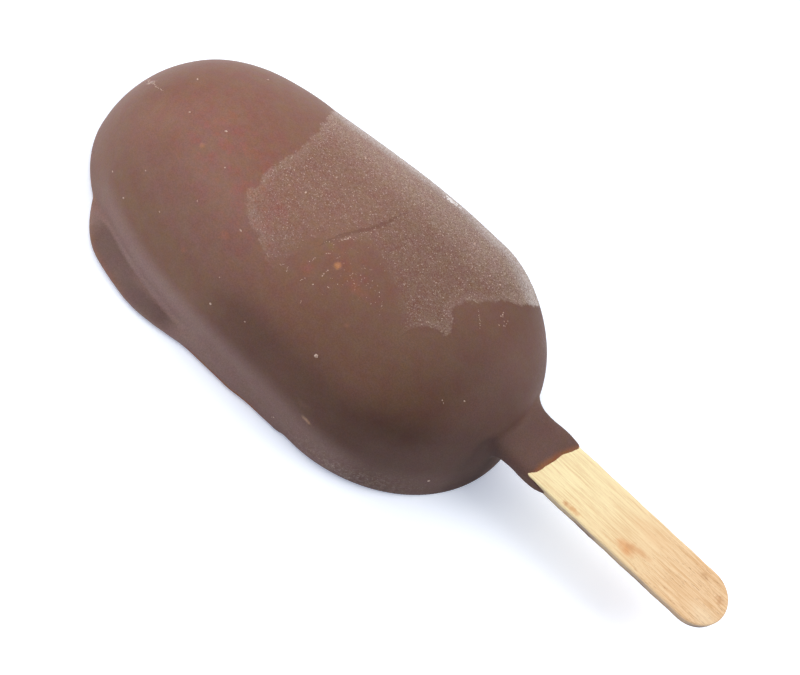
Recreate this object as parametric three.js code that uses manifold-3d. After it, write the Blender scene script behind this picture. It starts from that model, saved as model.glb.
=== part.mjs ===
// A chocolate-coated ice cream bar on a flat wooden stick, lying on its flat underside.
// Millimetres, +Z up. The bar runs along X with its free tip towards -X and the stick towards +X.
// The origin is on the ground, under the middle of the whole part.
import * as THREE from "three";
import { mergeVertices } from "three/addons/utils/BufferGeometryUtils.js";
import Module from "manifold-3d";

const wasm = await Module();
wasm.setup();

// The coated bar, from its tip to the wall that the stick leaves.
const BAR_LENGTH = 87.6;
const BAR_HEIGHT = 26.7;

// Its outline from above, one rounded quarter for each corner. The foot lies on the -Y side.
const NECK_FOOT_QUARTER = { reach: 26.5, halfWidth: 24.3, squareness: 1.92 };
const NECK_FAR_QUARTER = { reach: 22, halfWidth: 26.9, squareness: 1.93 };
const TIP_FAR_QUARTER = { reach: 27.9, halfWidth: 24.2, squareness: 2 };
const TIP_FOOT_QUARTER = { reach: 35.6, halfWidth: 22.9, squareness: 1.98 };

// The far side swells out at one place and draws in half a wave to each side of it.
const SWELL_HEIGHT = 0.95;
const SWELL_X = 6.5;
const SWELL_HALF_WAVE = 27;

// Its section: a small round under the edge, then one curve over the wall and shoulder to the ridge.
const BASE_ROUND = 1.4;
const BASE_SECTION = [
  { up: 0, drawnIn: 1 },
  { up: 0.35, drawnIn: 0.3 },
  { up: 1, drawnIn: 0.08 },
];
const WIDEST_HEIGHT = 2.2;
const DOME_SQUARENESS = 2.5;
const RIDGE_TIP_INSET = 28;
const RIDGE_NECK_INSET = 23;

// The slow unevenness of the dipped coating: each wave's height, and its turn per millimetre.
const WAVES = [
  { height: 0.16, turn: new THREE.Vector3(0.137, 0.053, 0.03), start: 0.6 },
  { height: 0.13, turn: new THREE.Vector3(-0.067, 0.164, 0.125), start: 0 },
];

// The flattened foot of coating that set on the ground along one side. Each place is a distance
// walked round the outline from the tip, with how far the foot shows beyond the bar there.
const FOOT_HEIGHT = 4.4;
const FOOT_BURIED = 1.6;
const FOOT_REACH = [
  { walked: 11, beyond: -FOOT_BURIED },
  { walked: 27, beyond: 3.4 },
  { walked: 34, beyond: 3.3 },
  { walked: 49, beyond: 1 },
  { walked: 56, beyond: 0.9 },
  { walked: 62, beyond: 0.3 },
  { walked: 67, beyond: 0.2 },
  { walked: 72, beyond: -FOOT_BURIED },
];
const FOOT_SECTION = [
  { up: 0, back: 0.6 },
  { up: 0.14, back: 0.15 },
  { up: 0.32, back: 0 },
  { up: 0.5, back: 0.4 },
  { up: 0.68, back: 1.4 },
  { up: 0.86, back: 3.2 },
  { up: 1, back: 6 },
];

// The stick, level and turned very slightly to one side.
const STICK_LENGTH = 113;
const STICK_WIDTH = 11;
const STICK_THICKNESS = 2;
const STICK_EDGE = 0.3;
const STICK_SHOWING = 44.3;
const STICK_HEIGHT = 12.4;
const STICK_TURN = THREE.MathUtils.degToRad(-1.1);
const STICK_GAP = 0.3;

// The sleeve of coating on the stick, measured outwards from the neck end of the bar. Its free lip
// lies aslant across the stick and reaches further on the underside.
const SLEEVE_LENGTH = 6.9;
const SLEEVE_SQUARENESS = 3.2;
const SLEEVE_SECTIONS = [
  { out: -9, halfWidth: 10, halfHeight: 5.5 },
  { out: -4.4, halfWidth: 8.8, halfHeight: 4.4 },
  { out: -2.9, halfWidth: 7.6, halfHeight: 3.4 },
  { out: -1.6, halfWidth: 6.7, halfHeight: 2.6 },
  { out: -0.3, halfWidth: 6.3, halfHeight: 2.15 },
  { out: 1.5, halfWidth: 6.2, halfHeight: 1.95 },
  { out: 3.5, halfWidth: 6.2, halfHeight: 1.9 },
  { out: 5.4, halfWidth: 6.15, halfHeight: 1.85 },
  { out: SLEEVE_LENGTH, halfWidth: 6.05, halfHeight: 1.7 },
];
const LIP_SLANT = 1.4;
const LIP_UNDER_REACH = 2;
const LIP_ONSET = 3;

// How finely the skins are divided.
const QUARTER_STEPS = 20;
const SIDE_STEPS = 10;
const DOME_STEPS = 17;
const DOME_TOP_ANGLE = THREE.MathUtils.degToRad(86);
const SLEEVE_STEPS = 48;
const STICK_CURVE_STEPS = 14;

const NECK_X = BAR_LENGTH / 2;
const TIP_X = -BAR_LENGTH / 2;
const RIGHT_ANGLE = Math.PI / 2;

const clamp = THREE.MathUtils.clamp;
const lerp = THREE.MathUtils.lerp;
const smoothstep = THREE.MathUtils.smoothstep;

// A cosine or sine drawn out towards the corners of a squarer curve.
function squared(value, squareness) {
  return Math.sign(value) * Math.abs(value) ** (2 / squareness);
}

// One rounded quarter of the outline, from an angle to a right angle further round.
function outlineQuarter(from, endX, { reach, halfWidth, squareness }) {
  const middleX = endX - Math.sign(endX) * reach;
  return Array.from({ length: QUARTER_STEPS }, (_, i) => {
    const angle = from + (RIGHT_ANGLE * i) / QUARTER_STEPS;
    return new THREE.Vector2(
      middleX + reach * squared(Math.cos(angle), squareness),
      halfWidth * squared(Math.sin(angle), squareness),
    );
  });
}

// The nearly straight stretch between two points of the outline.
function outlineSide(from, to) {
  return Array.from({ length: SIDE_STEPS }, (_, i) => from.clone().lerp(to, i / SIDE_STEPS));
}

// The outline of the bar seen from above, once round from the middle of the -Y side.
// Each point keeps its outward direction and, on the foot's side, the distance walked from the tip.
function barOutline() {
  const points = [
    ...outlineQuarter(-RIGHT_ANGLE, NECK_X, NECK_FOOT_QUARTER),
    ...outlineQuarter(0, NECK_X, NECK_FAR_QUARTER),
    ...outlineSide(
      new THREE.Vector2(NECK_X - NECK_FAR_QUARTER.reach, NECK_FAR_QUARTER.halfWidth),
      new THREE.Vector2(TIP_X + TIP_FAR_QUARTER.reach, TIP_FAR_QUARTER.halfWidth),
    ),
    ...outlineQuarter(RIGHT_ANGLE, TIP_X, TIP_FAR_QUARTER),
    ...outlineQuarter(2 * RIGHT_ANGLE, TIP_X, TIP_FOOT_QUARTER),
    ...outlineSide(
      new THREE.Vector2(TIP_X + TIP_FOOT_QUARTER.reach, -TIP_FOOT_QUARTER.halfWidth),
      new THREE.Vector2(NECK_X - NECK_FOOT_QUARTER.reach, -NECK_FOOT_QUARTER.halfWidth),
    ),
  ];
  for (const point of points) {
    const share = smoothstep(point.y, 0, TIP_FAR_QUARTER.halfWidth);
    const wave = Math.cos((Math.PI * (point.x - SWELL_X)) / SWELL_HALF_WAVE);
    point.y += SWELL_HEIGHT * share * wave;
  }

  const count = points.length;
  const tipIndex = 3 * QUARTER_STEPS + SIDE_STEPS;
  let walked = 0;
  return points.map((point, i) => {
    const before = points[(i + count - 1) % count];
    const after = points[(i + 1) % count];
    const along = after.clone().sub(before).normalize();
    walked += i > tipIndex ? point.distanceTo(before) : 0;
    return { point, outward: new THREE.Vector2(along.y, -along.x), walked };
  });
}

// How far the coating stands out of its even form at a point.
function unevenness(point) {
  return WAVES.reduce((sum, { height, turn, start }) => sum + height * Math.sin(turn.dot(point) + start), 0);
}

// The middle of a ring of points.
function middleOf(ring) {
  return ring.reduce((sum, point) => sum.add(point), new THREE.Vector3()).divideScalar(ring.length);
}

// A closed skin through rings of equal count, stacked upwards, each end closed on its own middle.
function skin(rings) {
  const count = rings[0].length;
  const points = [middleOf(rings[0]), ...rings.flat(), middleOf(rings.at(-1))];
  const topMiddle = points.length - 1;
  const topRing = rings.length - 1;
  const at = (ring, i) => 1 + ring * count + (i % count);
  const triangles = [];
  for (let i = 0; i < count; i++) {
    triangles.push(0, at(0, i + 1), at(0, i));
    triangles.push(topMiddle, at(topRing, i), at(topRing, i + 1));
    for (let ring = 0; ring < topRing; ring++) {
      triangles.push(at(ring, i), at(ring, i + 1), at(ring + 1, i + 1));
      triangles.push(at(ring, i), at(ring + 1, i + 1), at(ring + 1, i));
    }
  }
  const geometry = new THREE.BufferGeometry().setFromPoints(points);
  geometry.setIndex(triangles);
  return geometry;
}

// One level of the bar, drawn in by a share of the way to the ridge, at a height.
function barRing(outline, share, z) {
  return outline.map(({ point }) => {
    const ridgeX = clamp(point.x, TIP_X + RIDGE_TIP_INSET, NECK_X - RIDGE_NECK_INSET);
    return new THREE.Vector3(lerp(point.x, ridgeX, share), lerp(point.y, 0, share), z);
  });
}

// The bar itself, from its flat underside over the shoulder to the ridge.
function barSkin(outline) {
  const baseShare = BASE_ROUND / TIP_FAR_QUARTER.halfWidth;
  const rings = BASE_SECTION.map(({ up, drawnIn }) => barRing(outline, baseShare * drawnIn, BASE_ROUND * up));
  for (let i = 0; i <= DOME_STEPS; i++) {
    const angle = (DOME_TOP_ANGLE * i) / DOME_STEPS;
    const share = 1 - squared(Math.cos(angle), DOME_SQUARENESS);
    const z = lerp(WIDEST_HEIGHT, BAR_HEIGHT, squared(Math.sin(angle), DOME_SQUARENESS));
    rings.push(barRing(outline, share, z));
  }
  for (const point of rings.flat()) {
    const wave = unevenness(point) * smoothstep(point.z, BASE_ROUND, BAR_HEIGHT / 2);
    point.y += (wave * point.y) / TIP_FAR_QUARTER.halfWidth;
    point.z += wave * smoothstep(point.z, BAR_HEIGHT / 2, BAR_HEIGHT);
  }
  return skin(rings);
}

// How far the foot shows beyond the bar at a distance walked round the outline from the tip.
function footBeyond(walked) {
  const next = FOOT_REACH.findIndex((place) => place.walked >= walked);
  if (next < 1) {
    return -FOOT_BURIED;
  }
  const from = FOOT_REACH[next - 1];
  const to = FOOT_REACH[next];
  return lerp(from.beyond, to.beyond, smoothstep(walked, from.walked, to.walked));
}

// The foot: a thin pad on the ground, buried in the bar except where it spread out.
function footSkin(outline) {
  const rings = FOOT_SECTION.map(({ up, back }) =>
    outline.map(({ point, outward, walked }) => {
      const place = point.clone().addScaledVector(outward, footBeyond(walked) - back);
      return new THREE.Vector3(place.x, place.y, FOOT_HEIGHT * up);
    }),
  );
  return skin(rings);
}

// The sleeve along +X about the stick's middle line.
function sleeveSkin() {
  const rings = SLEEVE_SECTIONS.map(({ out, halfWidth, halfHeight }) => {
    const lipShare = clamp(out / SLEEVE_LENGTH, 0, 1) ** LIP_ONSET;
    return Array.from({ length: SLEEVE_STEPS }, (_, i) => {
      const angle = (2 * Math.PI * i) / SLEEVE_STEPS;
      const across = squared(Math.cos(angle), SLEEVE_SQUARENESS);
      const up = squared(Math.sin(angle), SLEEVE_SQUARENESS);
      const lip = LIP_SLANT * across + LIP_UNDER_REACH * clamp(-up, 0, 1);
      return new THREE.Vector3(out + lipShare * lip, across * halfWidth, up * halfHeight);
    });
  });
  return skin(rings);
}

// The stick along +X from its hidden end, or the slot it sits in, which is larger all round.
function stickPlate(larger) {
  const endRadius = STICK_WIDTH / 2 - STICK_EDGE;
  const hiddenX = STICK_SHOWING - STICK_LENGTH + STICK_WIDTH / 2;
  const freeX = STICK_SHOWING - STICK_WIDTH / 2;
  const face = new THREE.Shape();
  face.absarc(freeX, 0, endRadius, -RIGHT_ANGLE, RIGHT_ANGLE, false);
  face.absarc(hiddenX, 0, endRadius, RIGHT_ANGLE, 3 * RIGHT_ANGLE, false);
  const geometry = new THREE.ExtrudeGeometry(face, {
    depth: STICK_THICKNESS - 2 * STICK_EDGE + 2 * larger,
    bevelThickness: STICK_EDGE,
    bevelSize: STICK_EDGE + larger,
    bevelSegments: 1,
    curveSegments: STICK_CURVE_STEPS,
  });
  return geometry.translate(0, 0, STICK_EDGE - STICK_THICKNESS / 2 - larger);
}

// A closed geometry as a solid that can be joined and cut.
function toSolid(geometry) {
  const bare = geometry.clone();
  bare.deleteAttribute("normal");
  bare.deleteAttribute("uv");
  const merged = mergeVertices(bare);
  return new wasm.Manifold(
    new wasm.Mesh({
      numProp: 3,
      vertProperties: merged.attributes.position.array,
      triVerts: new Uint32Array(merged.index.array),
    }),
  );
}

// A solid's skin as a geometry to draw.
function toGeometry(solid) {
  const mesh = solid.getMesh();
  const geometry = new THREE.BufferGeometry();
  geometry.setAttribute("position", new THREE.BufferAttribute(mesh.vertProperties, 3));
  geometry.setIndex(new THREE.BufferAttribute(mesh.triVerts, 1));
  geometry.computeVertexNormals();
  return geometry;
}

// The stick leaves the middle of the neck end.
function makeStick() {
  const wood = new THREE.MeshStandardMaterial({ color: 0xe6cda2, roughness: 0.7, metalness: 0 });
  const stick = new THREE.Mesh(stickPlate(0), wood);
  stick.name = "stick";
  stick.position.set(NECK_X, 0, STICK_HEIGHT);
  stick.rotation.z = STICK_TURN;
  stick.updateMatrix();
  return stick;
}

// The bar, its foot and its sleeve are one piece, with a close slot for the stick.
function makeCoatedBar(stick) {
  const outline = barOutline();
  const sleeve = sleeveSkin().applyMatrix4(stick.matrix);
  const slot = stickPlate(STICK_GAP).applyMatrix4(stick.matrix);
  const solid = toSolid(barSkin(outline))
    .add(toSolid(footSkin(outline)))
    .add(toSolid(sleeve))
    .subtract(toSolid(slot));
  const chocolate = new THREE.MeshStandardMaterial({ color: 0x5f4238, roughness: 0.45, metalness: 0 });
  const coatedBar = new THREE.Mesh(toGeometry(solid), chocolate);
  coatedBar.name = "coated_bar";
  return coatedBar;
}

const stick = makeStick();
const part = new THREE.Group();
part.add(makeCoatedBar(stick), stick);
const middle = new THREE.Box3().setFromObject(part, true).getCenter(new THREE.Vector3());
part.position.set(-middle.x, -middle.y, 0);

export default part;
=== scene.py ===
"""Dresses the chocolate-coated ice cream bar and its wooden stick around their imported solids."""

import logging
import math
from dataclasses import dataclass, field
from enum import Enum
from typing import Any, Sequence

import bpy
import numpy as np
from bpy.types import Material, Mesh, Node, NodeSocket, NodeTree, Object
from mathutils import Matrix, Vector
from mathutils.bvhtree import BVHTree


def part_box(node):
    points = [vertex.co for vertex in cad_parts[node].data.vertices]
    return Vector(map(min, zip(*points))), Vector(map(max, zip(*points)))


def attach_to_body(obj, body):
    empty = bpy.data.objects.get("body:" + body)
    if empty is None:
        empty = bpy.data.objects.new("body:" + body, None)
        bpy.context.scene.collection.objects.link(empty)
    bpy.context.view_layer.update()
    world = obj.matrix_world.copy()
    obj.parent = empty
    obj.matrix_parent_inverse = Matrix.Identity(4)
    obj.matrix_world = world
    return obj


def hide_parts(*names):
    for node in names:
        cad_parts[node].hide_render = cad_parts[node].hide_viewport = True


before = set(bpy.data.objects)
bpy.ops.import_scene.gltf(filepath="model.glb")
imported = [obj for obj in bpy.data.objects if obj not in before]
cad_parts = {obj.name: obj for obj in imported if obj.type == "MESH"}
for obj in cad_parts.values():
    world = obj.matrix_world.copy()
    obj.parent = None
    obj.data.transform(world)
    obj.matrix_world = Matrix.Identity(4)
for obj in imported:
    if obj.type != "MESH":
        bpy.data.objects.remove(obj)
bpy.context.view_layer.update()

log = logging.getLogger("ice_cream_bar")

MM = 0.001
RIGHT_ANGLE = math.pi / 2
TINY = 1e-9
EVENING_STEPS = (0.5, -0.52)
Place = tuple[float, float, float]
Colour = tuple[float, float, float]
Range = tuple[float, float]
Line = tuple[tuple[float, float], ...]
Points = np.ndarray
Skin = tuple[Points, list[tuple[int, ...]]]


class Slot(Enum):
    """The record's material slots."""

    CHOCOLATE = "chocolate"
    WOOD = "bare_wood"


class Solid(Enum):
    """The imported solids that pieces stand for."""

    BAR = "coated_bar"
    STICK = "stick"


class Kind(Enum):
    """The kinds of socket that the node groups use."""

    NUMBER = "NodeSocketFloat"
    COUNT = "NodeSocketInt"
    VECTOR = "NodeSocketVector"
    GEOMETRY = "NodeSocketGeometry"
    MATERIAL = "NodeSocketMaterial"


class Family(Enum):
    """The two families of node group."""

    SHADER = "ShaderNodeTree"
    GEOMETRY = "GeometryNodeTree"


Sockets = dict[Kind, list[str]]


def squared(value: Points, squareness: float) -> Points:
    """A cosine or sine drawn out towards the corners of a squarer curve."""
    return np.sign(value) * np.abs(value) ** (2 / squareness)


def smooth(value: Points, low: float, high: float) -> Points:
    """A smooth step from 0 at low to 1 at high; low may be the larger of the two."""
    share = np.clip((value - low) / (high - low), 0, 1)
    return share * share * (3 - 2 * share)


def course(line: Line, along: Points) -> Points:
    """What a line through pairs of place and amount gives at other places."""
    return np.interp(along, *np.array(line).T)


def ripple(points: Points, turns: Sequence[Place], seed: int) -> Points:
    """A gentle, repeatable unevenness between about -1 and 1.

    Args:
        points: places in mm, one a row.
        turns: how fast each of its waves turns, in radians per mm along x, y and z.
        seed: picks where each wave starts.

    Returns:
        One value for each place.
    """
    starts = np.random.default_rng(seed).uniform(0, 2 * math.pi, len(turns))
    waves = [np.sin(points @ np.array(turn) + start) for turn, start in zip(turns, starts)]
    return sum(waves) / len(waves)


@dataclass(frozen=True)
class Placement:
    """Where the bar's own axes lie in the frame, in mm."""

    x: float
    y: float

    def to_frame(self, points: Points) -> Points:
        """Moves points from the bar's own axes into the frame."""
        return points + np.array([self.x, self.y, 0.0])


def rings_to_skin(rings: Points) -> Skin:
    """Closes a stack of rings into a skin whose faces point outwards.

    Args:
        rings: an array of ring, place in the ring, and coordinate.

    Returns:
        The points, and the faces as tuples of point numbers.
    """
    stack, count, _ = rings.shape
    points = np.vstack([rings.reshape(-1, 3), rings[0].mean(0), rings[-1].mean(0)])
    foot, top = stack * count, stack * count + 1
    step = np.arange(count)
    after = (step + 1) % count
    faces: list[tuple[int, ...]] = []
    for ring in range(stack - 1):
        low, high = ring * count, (ring + 1) * count
        quads = np.stack([low + step, low + after, high + after, high + step], 1)
        faces.extend(map(tuple, quads.tolist()))
    last = (stack - 1) * count
    faces.extend((foot, b, a) for a, b in zip(step.tolist(), after.tolist()))
    faces.extend((top, last + a, last + b) for a, b in zip(step.tolist(), after.tolist()))
    return points, faces


def bare_object(name: str, points: Points, faces: Sequence[Sequence[int]]) -> Object:
    """Makes a mesh object at the origin and puts it in the scene.

    Args:
        name: its name.
        points: the places of its vertices.
        faces: its faces, as vertex numbers.

    Returns:
        The object.
    """
    mesh = bpy.data.meshes.new(name)
    mesh.from_pydata(points.tolist(), [], faces)
    mesh.update()
    return in_scene(bpy.data.objects.new(name, mesh))


def in_scene(thing: Object) -> Object:
    """Puts an object in the scene."""
    bpy.context.scene.collection.objects.link(thing)
    return thing


def settled(thing: Object) -> Mesh:
    """The mesh that an object's modifiers give, as a plain mesh."""
    graph = bpy.context.evaluated_depsgraph_get()
    return bpy.data.meshes.new_from_object(thing.evaluated_get(graph))


def vectors(items: Any, name: str) -> Points:
    """Reads the vector that each of a mesh's items keeps.

    Args:
        items: the vertices, or their normals.
        name: the property that holds the vector.

    Returns:
        One row for each item.
    """
    values = np.zeros(len(items) * 3)
    items.foreach_get(name, values)
    return values.reshape(-1, 3)


def mesh_points(mesh: Mesh) -> Points:
    """The places of a mesh's vertices."""
    return vectors(mesh.vertices, "co")


def mesh_normals(mesh: Mesh) -> Points:
    """The outward directions at a mesh's vertices."""
    return vectors(mesh.vertex_normals, "vector")


def set_points(mesh: Mesh, points: Points) -> None:
    """Moves a mesh's vertices."""
    mesh.vertices.foreach_set("co", points.ravel())
    mesh.update()


def fuse(skins: Sequence[Skin], voxel: float) -> Mesh:
    """Fuses overlapping closed skins into one closed mesh of small, even faces, in mm.

    Args:
        skins: points and faces of each skin.
        voxel: the size of a face, in mm.

    Returns:
        The fused mesh.
    """
    points, faces, start = [], [], 0
    for skin_points, skin_faces in skins:
        points.append(skin_points)
        faces.extend(tuple(i + start for i in face) for face in skin_faces)
        start += len(skin_points)
    rough = bare_object("rough", np.vstack(points), faces)
    remesh = rough.modifiers.new("fuse", "REMESH")
    remesh.mode = "VOXEL"
    remesh.voxel_size = voxel
    fused = settled(rough)
    bpy.data.objects.remove(rough)
    return fused


def relax(mesh: Mesh, weight: Points, rounds: int) -> None:
    """Evens a mesh out without shrinking it.

    Args:
        mesh: the mesh, which is changed.
        weight: how strongly each vertex follows its neighbours, from 0 to 1.
        rounds: how often it is done.
    """
    edges = np.zeros(len(mesh.edges) * 2, np.int64)
    mesh.edges.foreach_get("vertices", edges)
    ends = np.concatenate([edges.reshape(-1, 2), edges.reshape(-1, 2)[:, ::-1]])
    points = mesh_points(mesh)
    count = np.bincount(ends[:, 0], minlength=len(points))[:, None]
    for step in EVENING_STEPS * rounds:
        around = np.stack(
            [np.bincount(ends[:, 0], points[ends[:, 1], axis], len(points)) for axis in range(3)], 1
        )
        points += step * weight[:, None] * (around / count - points)
    set_points(mesh, points)


def distance_inside(places: Points, outline: Points) -> Points:
    """How far places lie inside a closed outline, below zero outside it.

    Args:
        places: x and y of each place, in mm.
        outline: x and y of the outline's corners, in mm.

    Returns:
        One distance for each place, in mm.
    """
    nearest = np.full(len(places), np.inf)
    crossings = np.zeros(len(places), bool)
    for a, b in zip(outline, np.roll(outline, -1, axis=0)):
        along = b - a
        share = np.clip(((places - a) @ along) / (along @ along), 0, 1)
        gap = places - a - share[:, None] * along
        nearest = np.minimum(nearest, np.hypot(gap[:, 0], gap[:, 1]))
        spans = (a[1] > places[:, 1]) != (b[1] > places[:, 1])
        rise = along[1] if abs(along[1]) > TINY else TINY
        crossings ^= spans & (places[:, 0] < a[0] + (places[:, 1] - a[1]) * along[0] / rise)
    return np.where(crossings, nearest, -nearest)


def line_distance(places: Points, line: Points) -> tuple[Points, Points]:
    """How places lie beside an open line.

    Args:
        places: x and y of each place, in mm.
        line: x and y of the line's corners, in mm.

    Returns:
        The distance to the line, above zero on its left, and how far along the line that is in mm.
    """
    nearest = np.full(len(places), np.inf)
    signed = np.zeros(len(places))
    along_line = np.zeros(len(places))
    walked = 0.0
    for a, b in zip(line[:-1], line[1:]):
        along = b - a
        length = float(np.hypot(*along))
        share = np.clip(((places - a) @ along) / length**2, 0, 1)
        gap = places - a - share[:, None] * along
        reach = np.hypot(gap[:, 0], gap[:, 1])
        side = np.sign(along[0] * gap[:, 1] - along[1] * gap[:, 0])
        closer = reach < nearest
        nearest = np.where(closer, reach, nearest)
        signed = np.where(closer, reach * side, signed)
        along_line = np.where(closer, walked + share * length, along_line)
        walked += length
    return signed, along_line


def store(mesh: Mesh, **values: Points) -> None:
    """Keeps one number for each vertex under each of the names given."""
    for name, numbers in values.items():
        mesh.attributes.new(name, "FLOAT", "POINT").data.foreach_set("value", numbers.astype(np.float32))


class NodeDesk:
    """A short way to lay out the nodes of one tree."""

    def __init__(self, tree: NodeTree) -> None:
        """Works on a tree that is already there."""
        self.tree = tree

    def add(self, kind: str, inputs: dict[Any, Any] | None = None, **settings: Any) -> Node:
        """Adds a node.

        Args:
            kind: its type name.
            inputs: values or sockets for its inputs, by name or number.
            settings: its own properties.

        Returns:
            The node.
        """
        node = self.tree.nodes.new(kind)
        for name, value in settings.items():
            setattr(node, name, value)
        self.wire(node, inputs or {})
        return node

    def wire(self, node: Node, inputs: dict[Any, Any]) -> None:
        """Links sockets into a node's inputs, or sets these to values.

        Args:
            node: the node.
            inputs: the values or sockets, by name or number.
        """
        for name, value in inputs.items():
            if isinstance(value, NodeSocket):
                self.tree.links.new(value, node.inputs[name])
            else:
                node.inputs[name].default_value = value

    def maths(self, operation: str, *values: Any, clamp: bool = False) -> NodeSocket:
        """One step of arithmetic on numbers."""
        node = self.add("ShaderNodeMath", dict(enumerate(values)), operation=operation, use_clamp=clamp)
        return node.outputs[0]

    def times(self, first: Any, second: Any, clamp: bool = False) -> NodeSocket:
        """The product of two numbers."""
        return self.maths("MULTIPLY", first, second, clamp=clamp)

    def plus(self, first: Any, second: Any) -> NodeSocket:
        """The sum of two numbers."""
        return self.maths("ADD", first, second)

    def times_plus(self, first: Any, second: Any, more: Any) -> NodeSocket:
        """The product of two numbers, with more added to it."""
        return self.maths("MULTIPLY_ADD", first, second, more)

    def vector_maths(self, operation: str, *values: Any) -> Node:
        """One step of arithmetic on vectors."""
        return self.add("ShaderNodeVectorMath", dict(enumerate(values)), operation=operation)

    def step(self, value: Any, low: float, high: float, out: Range = (0, 1)) -> NodeSocket:
        """A smooth step of a number from low to high."""
        inputs = {"Value": value, "From Min": low, "From Max": high, "To Min": out[0], "To Max": out[1]}
        return self.add("ShaderNodeMapRange", inputs, interpolation_type="SMOOTHSTEP").outputs[0]

    def blend(self, share: Any, first: Any, second: Any) -> NodeSocket:
        """A mix of two colours."""
        inputs = {"Factor": share, "A": shade(first), "B": shade(second)}
        return self.add("ShaderNodeMix", inputs, data_type="RGBA").outputs["Result"]

    def noise(self, where: Any, scale: Any, detail: float = 2, roughness: float = 0.5) -> NodeSocket:
        """Even noise about one half."""
        inputs = {"Vector": where, "Scale": scale, "Detail": detail, "Roughness": roughness}
        return self.add("ShaderNodeTexNoise", inputs).outputs[0]

    def attribute(self, name: str) -> NodeSocket:
        """A number kept on the piece's vertices."""
        return self.add("ShaderNodeAttribute", attribute_name=name).outputs["Fac"]

    def kept(self, name: str, kind: str = "FLOAT") -> NodeSocket:
        """What the vertices that a Geometry Nodes tree works on keep."""
        node = self.add("GeometryNodeInputNamedAttribute", {"Name": name}, data_type=kind)
        return node.outputs["Attribute"]

    def mapped(self, vector: Any, **change: Any) -> NodeSocket:
        """A vector turned or scaled."""
        return self.add("ShaderNodeMapping", {"Vector": vector, **change}).outputs[0]

    def bump(self, height: Any, strength: float) -> NodeSocket:
        """The normals that a height in mm gives."""
        inputs = {"Height": height, "Distance": MM, "Strength": strength}
        return self.add("ShaderNodeBump", inputs).outputs[0]

    def group(self, tree: NodeTree, inputs: dict[str, Any]) -> Any:
        """Places a node group and gives its outputs."""
        return self.add("ShaderNodeGroup", inputs, node_tree=tree).outputs


def shade(colour: Any) -> Any:
    """A colour with its alpha, or a socket as it is."""
    return (*colour, 1.0) if isinstance(colour, tuple) and len(colour) == 3 else colour


def srgb(*levels: int) -> Colour:
    """A colour of red, green and blue levels of 0 to 255 as the eye sees it, as linear light."""
    shares = [level / 255 for level in levels]
    return tuple(part / 12.92 if part <= 0.04045 else ((part + 0.055) / 1.055) ** 2.4 for part in shares)


def new_group(name: str, family: Family, inputs: Sockets, outputs: Sockets) -> tuple[NodeDesk, Any, Node]:
    """Starts a node group with its named sockets.

    Args:
        name: the group's name.
        family: what the group works on.
        inputs: the names of its inputs of each kind.
        outputs: the names of its outputs of each kind.

    Returns:
        A desk on its tree, what its inputs give, and its output node.
    """
    tree = bpy.data.node_groups.new(name, family.value)
    for way, sockets in (("INPUT", inputs), ("OUTPUT", outputs)):
        for kind, labels in sockets.items():
            for label in labels:
                tree.interface.new_socket(label, in_out=way, socket_type=kind.value)
    desk = NodeDesk(tree)
    return desk, desk.add("NodeGroupInput").outputs, desk.add("NodeGroupOutput")


class Effects:
    """The effects that more than one finish uses, each built once as a node group."""

    def __init__(self) -> None:
        """Builds the groups."""
        self.mottle = self._mottle()
        self.spot = self._spot()

    @staticmethod
    def _mottle() -> NodeTree:
        """Slow clouds and fine grain.

        Returns:
            The group.
        """
        desk, given, result = new_group(
            "mottle",
            Family.SHADER,
            {Kind.VECTOR: ["Place"], Kind.NUMBER: ["Cloud Scale", "Grain Scale"]},
            {Kind.NUMBER: ["Clouds", "Grain"]},
        )
        clouds = desk.noise(given["Place"], given["Cloud Scale"], 3)
        grain = desk.noise(given["Place"], given["Grain Scale"], 3, 0.65)
        desk.wire(result, {"Clouds": desk.step(clouds, 0.3, 0.7), "Grain": grain})
        return desk.tree

    @staticmethod
    def _spot() -> NodeTree:
        """A soft-edged spot about a point, stretched along x, y and z and ragged at its edge.

        Returns:
            The group.
        """
        desk, given, result = new_group(
            "spot",
            Family.SHADER,
            {Kind.VECTOR: ["Place", "Centre", "Reach"], Kind.NUMBER: ["Ragged", "Ragged Scale"]},
            {Kind.NUMBER: ["Mask"]},
        )
        offset = desk.vector_maths("SUBTRACT", given["Place"], given["Centre"]).outputs[0]
        stretched = desk.vector_maths("DIVIDE", offset, given["Reach"]).outputs[0]
        away = desk.vector_maths("LENGTH", stretched).outputs["Value"]
        uneven = desk.maths("SUBTRACT", desk.noise(given["Place"], given["Ragged Scale"]), 0.5)
        edge = desk.plus(away, desk.times(uneven, given["Ragged"]))
        desk.wire(result, {"Mask": desk.step(edge, 1.0, 0.0)})
        return desk.tree


@dataclass(frozen=True)
class Spot:
    """A soft spot of another colour, in mm in the frame."""

    centre: Place
    reach: Place
    colour: Colour
    strength: float
    ragged: float = 0.6
    ragged_scale: float = 1.0


@dataclass(frozen=True)
class Drift:
    """Noise over a piece, stepped smoothly from low to high."""

    scale: float
    detail: float
    roughness: float
    low: float
    high: float
    out: Range = (0, 1)


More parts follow.
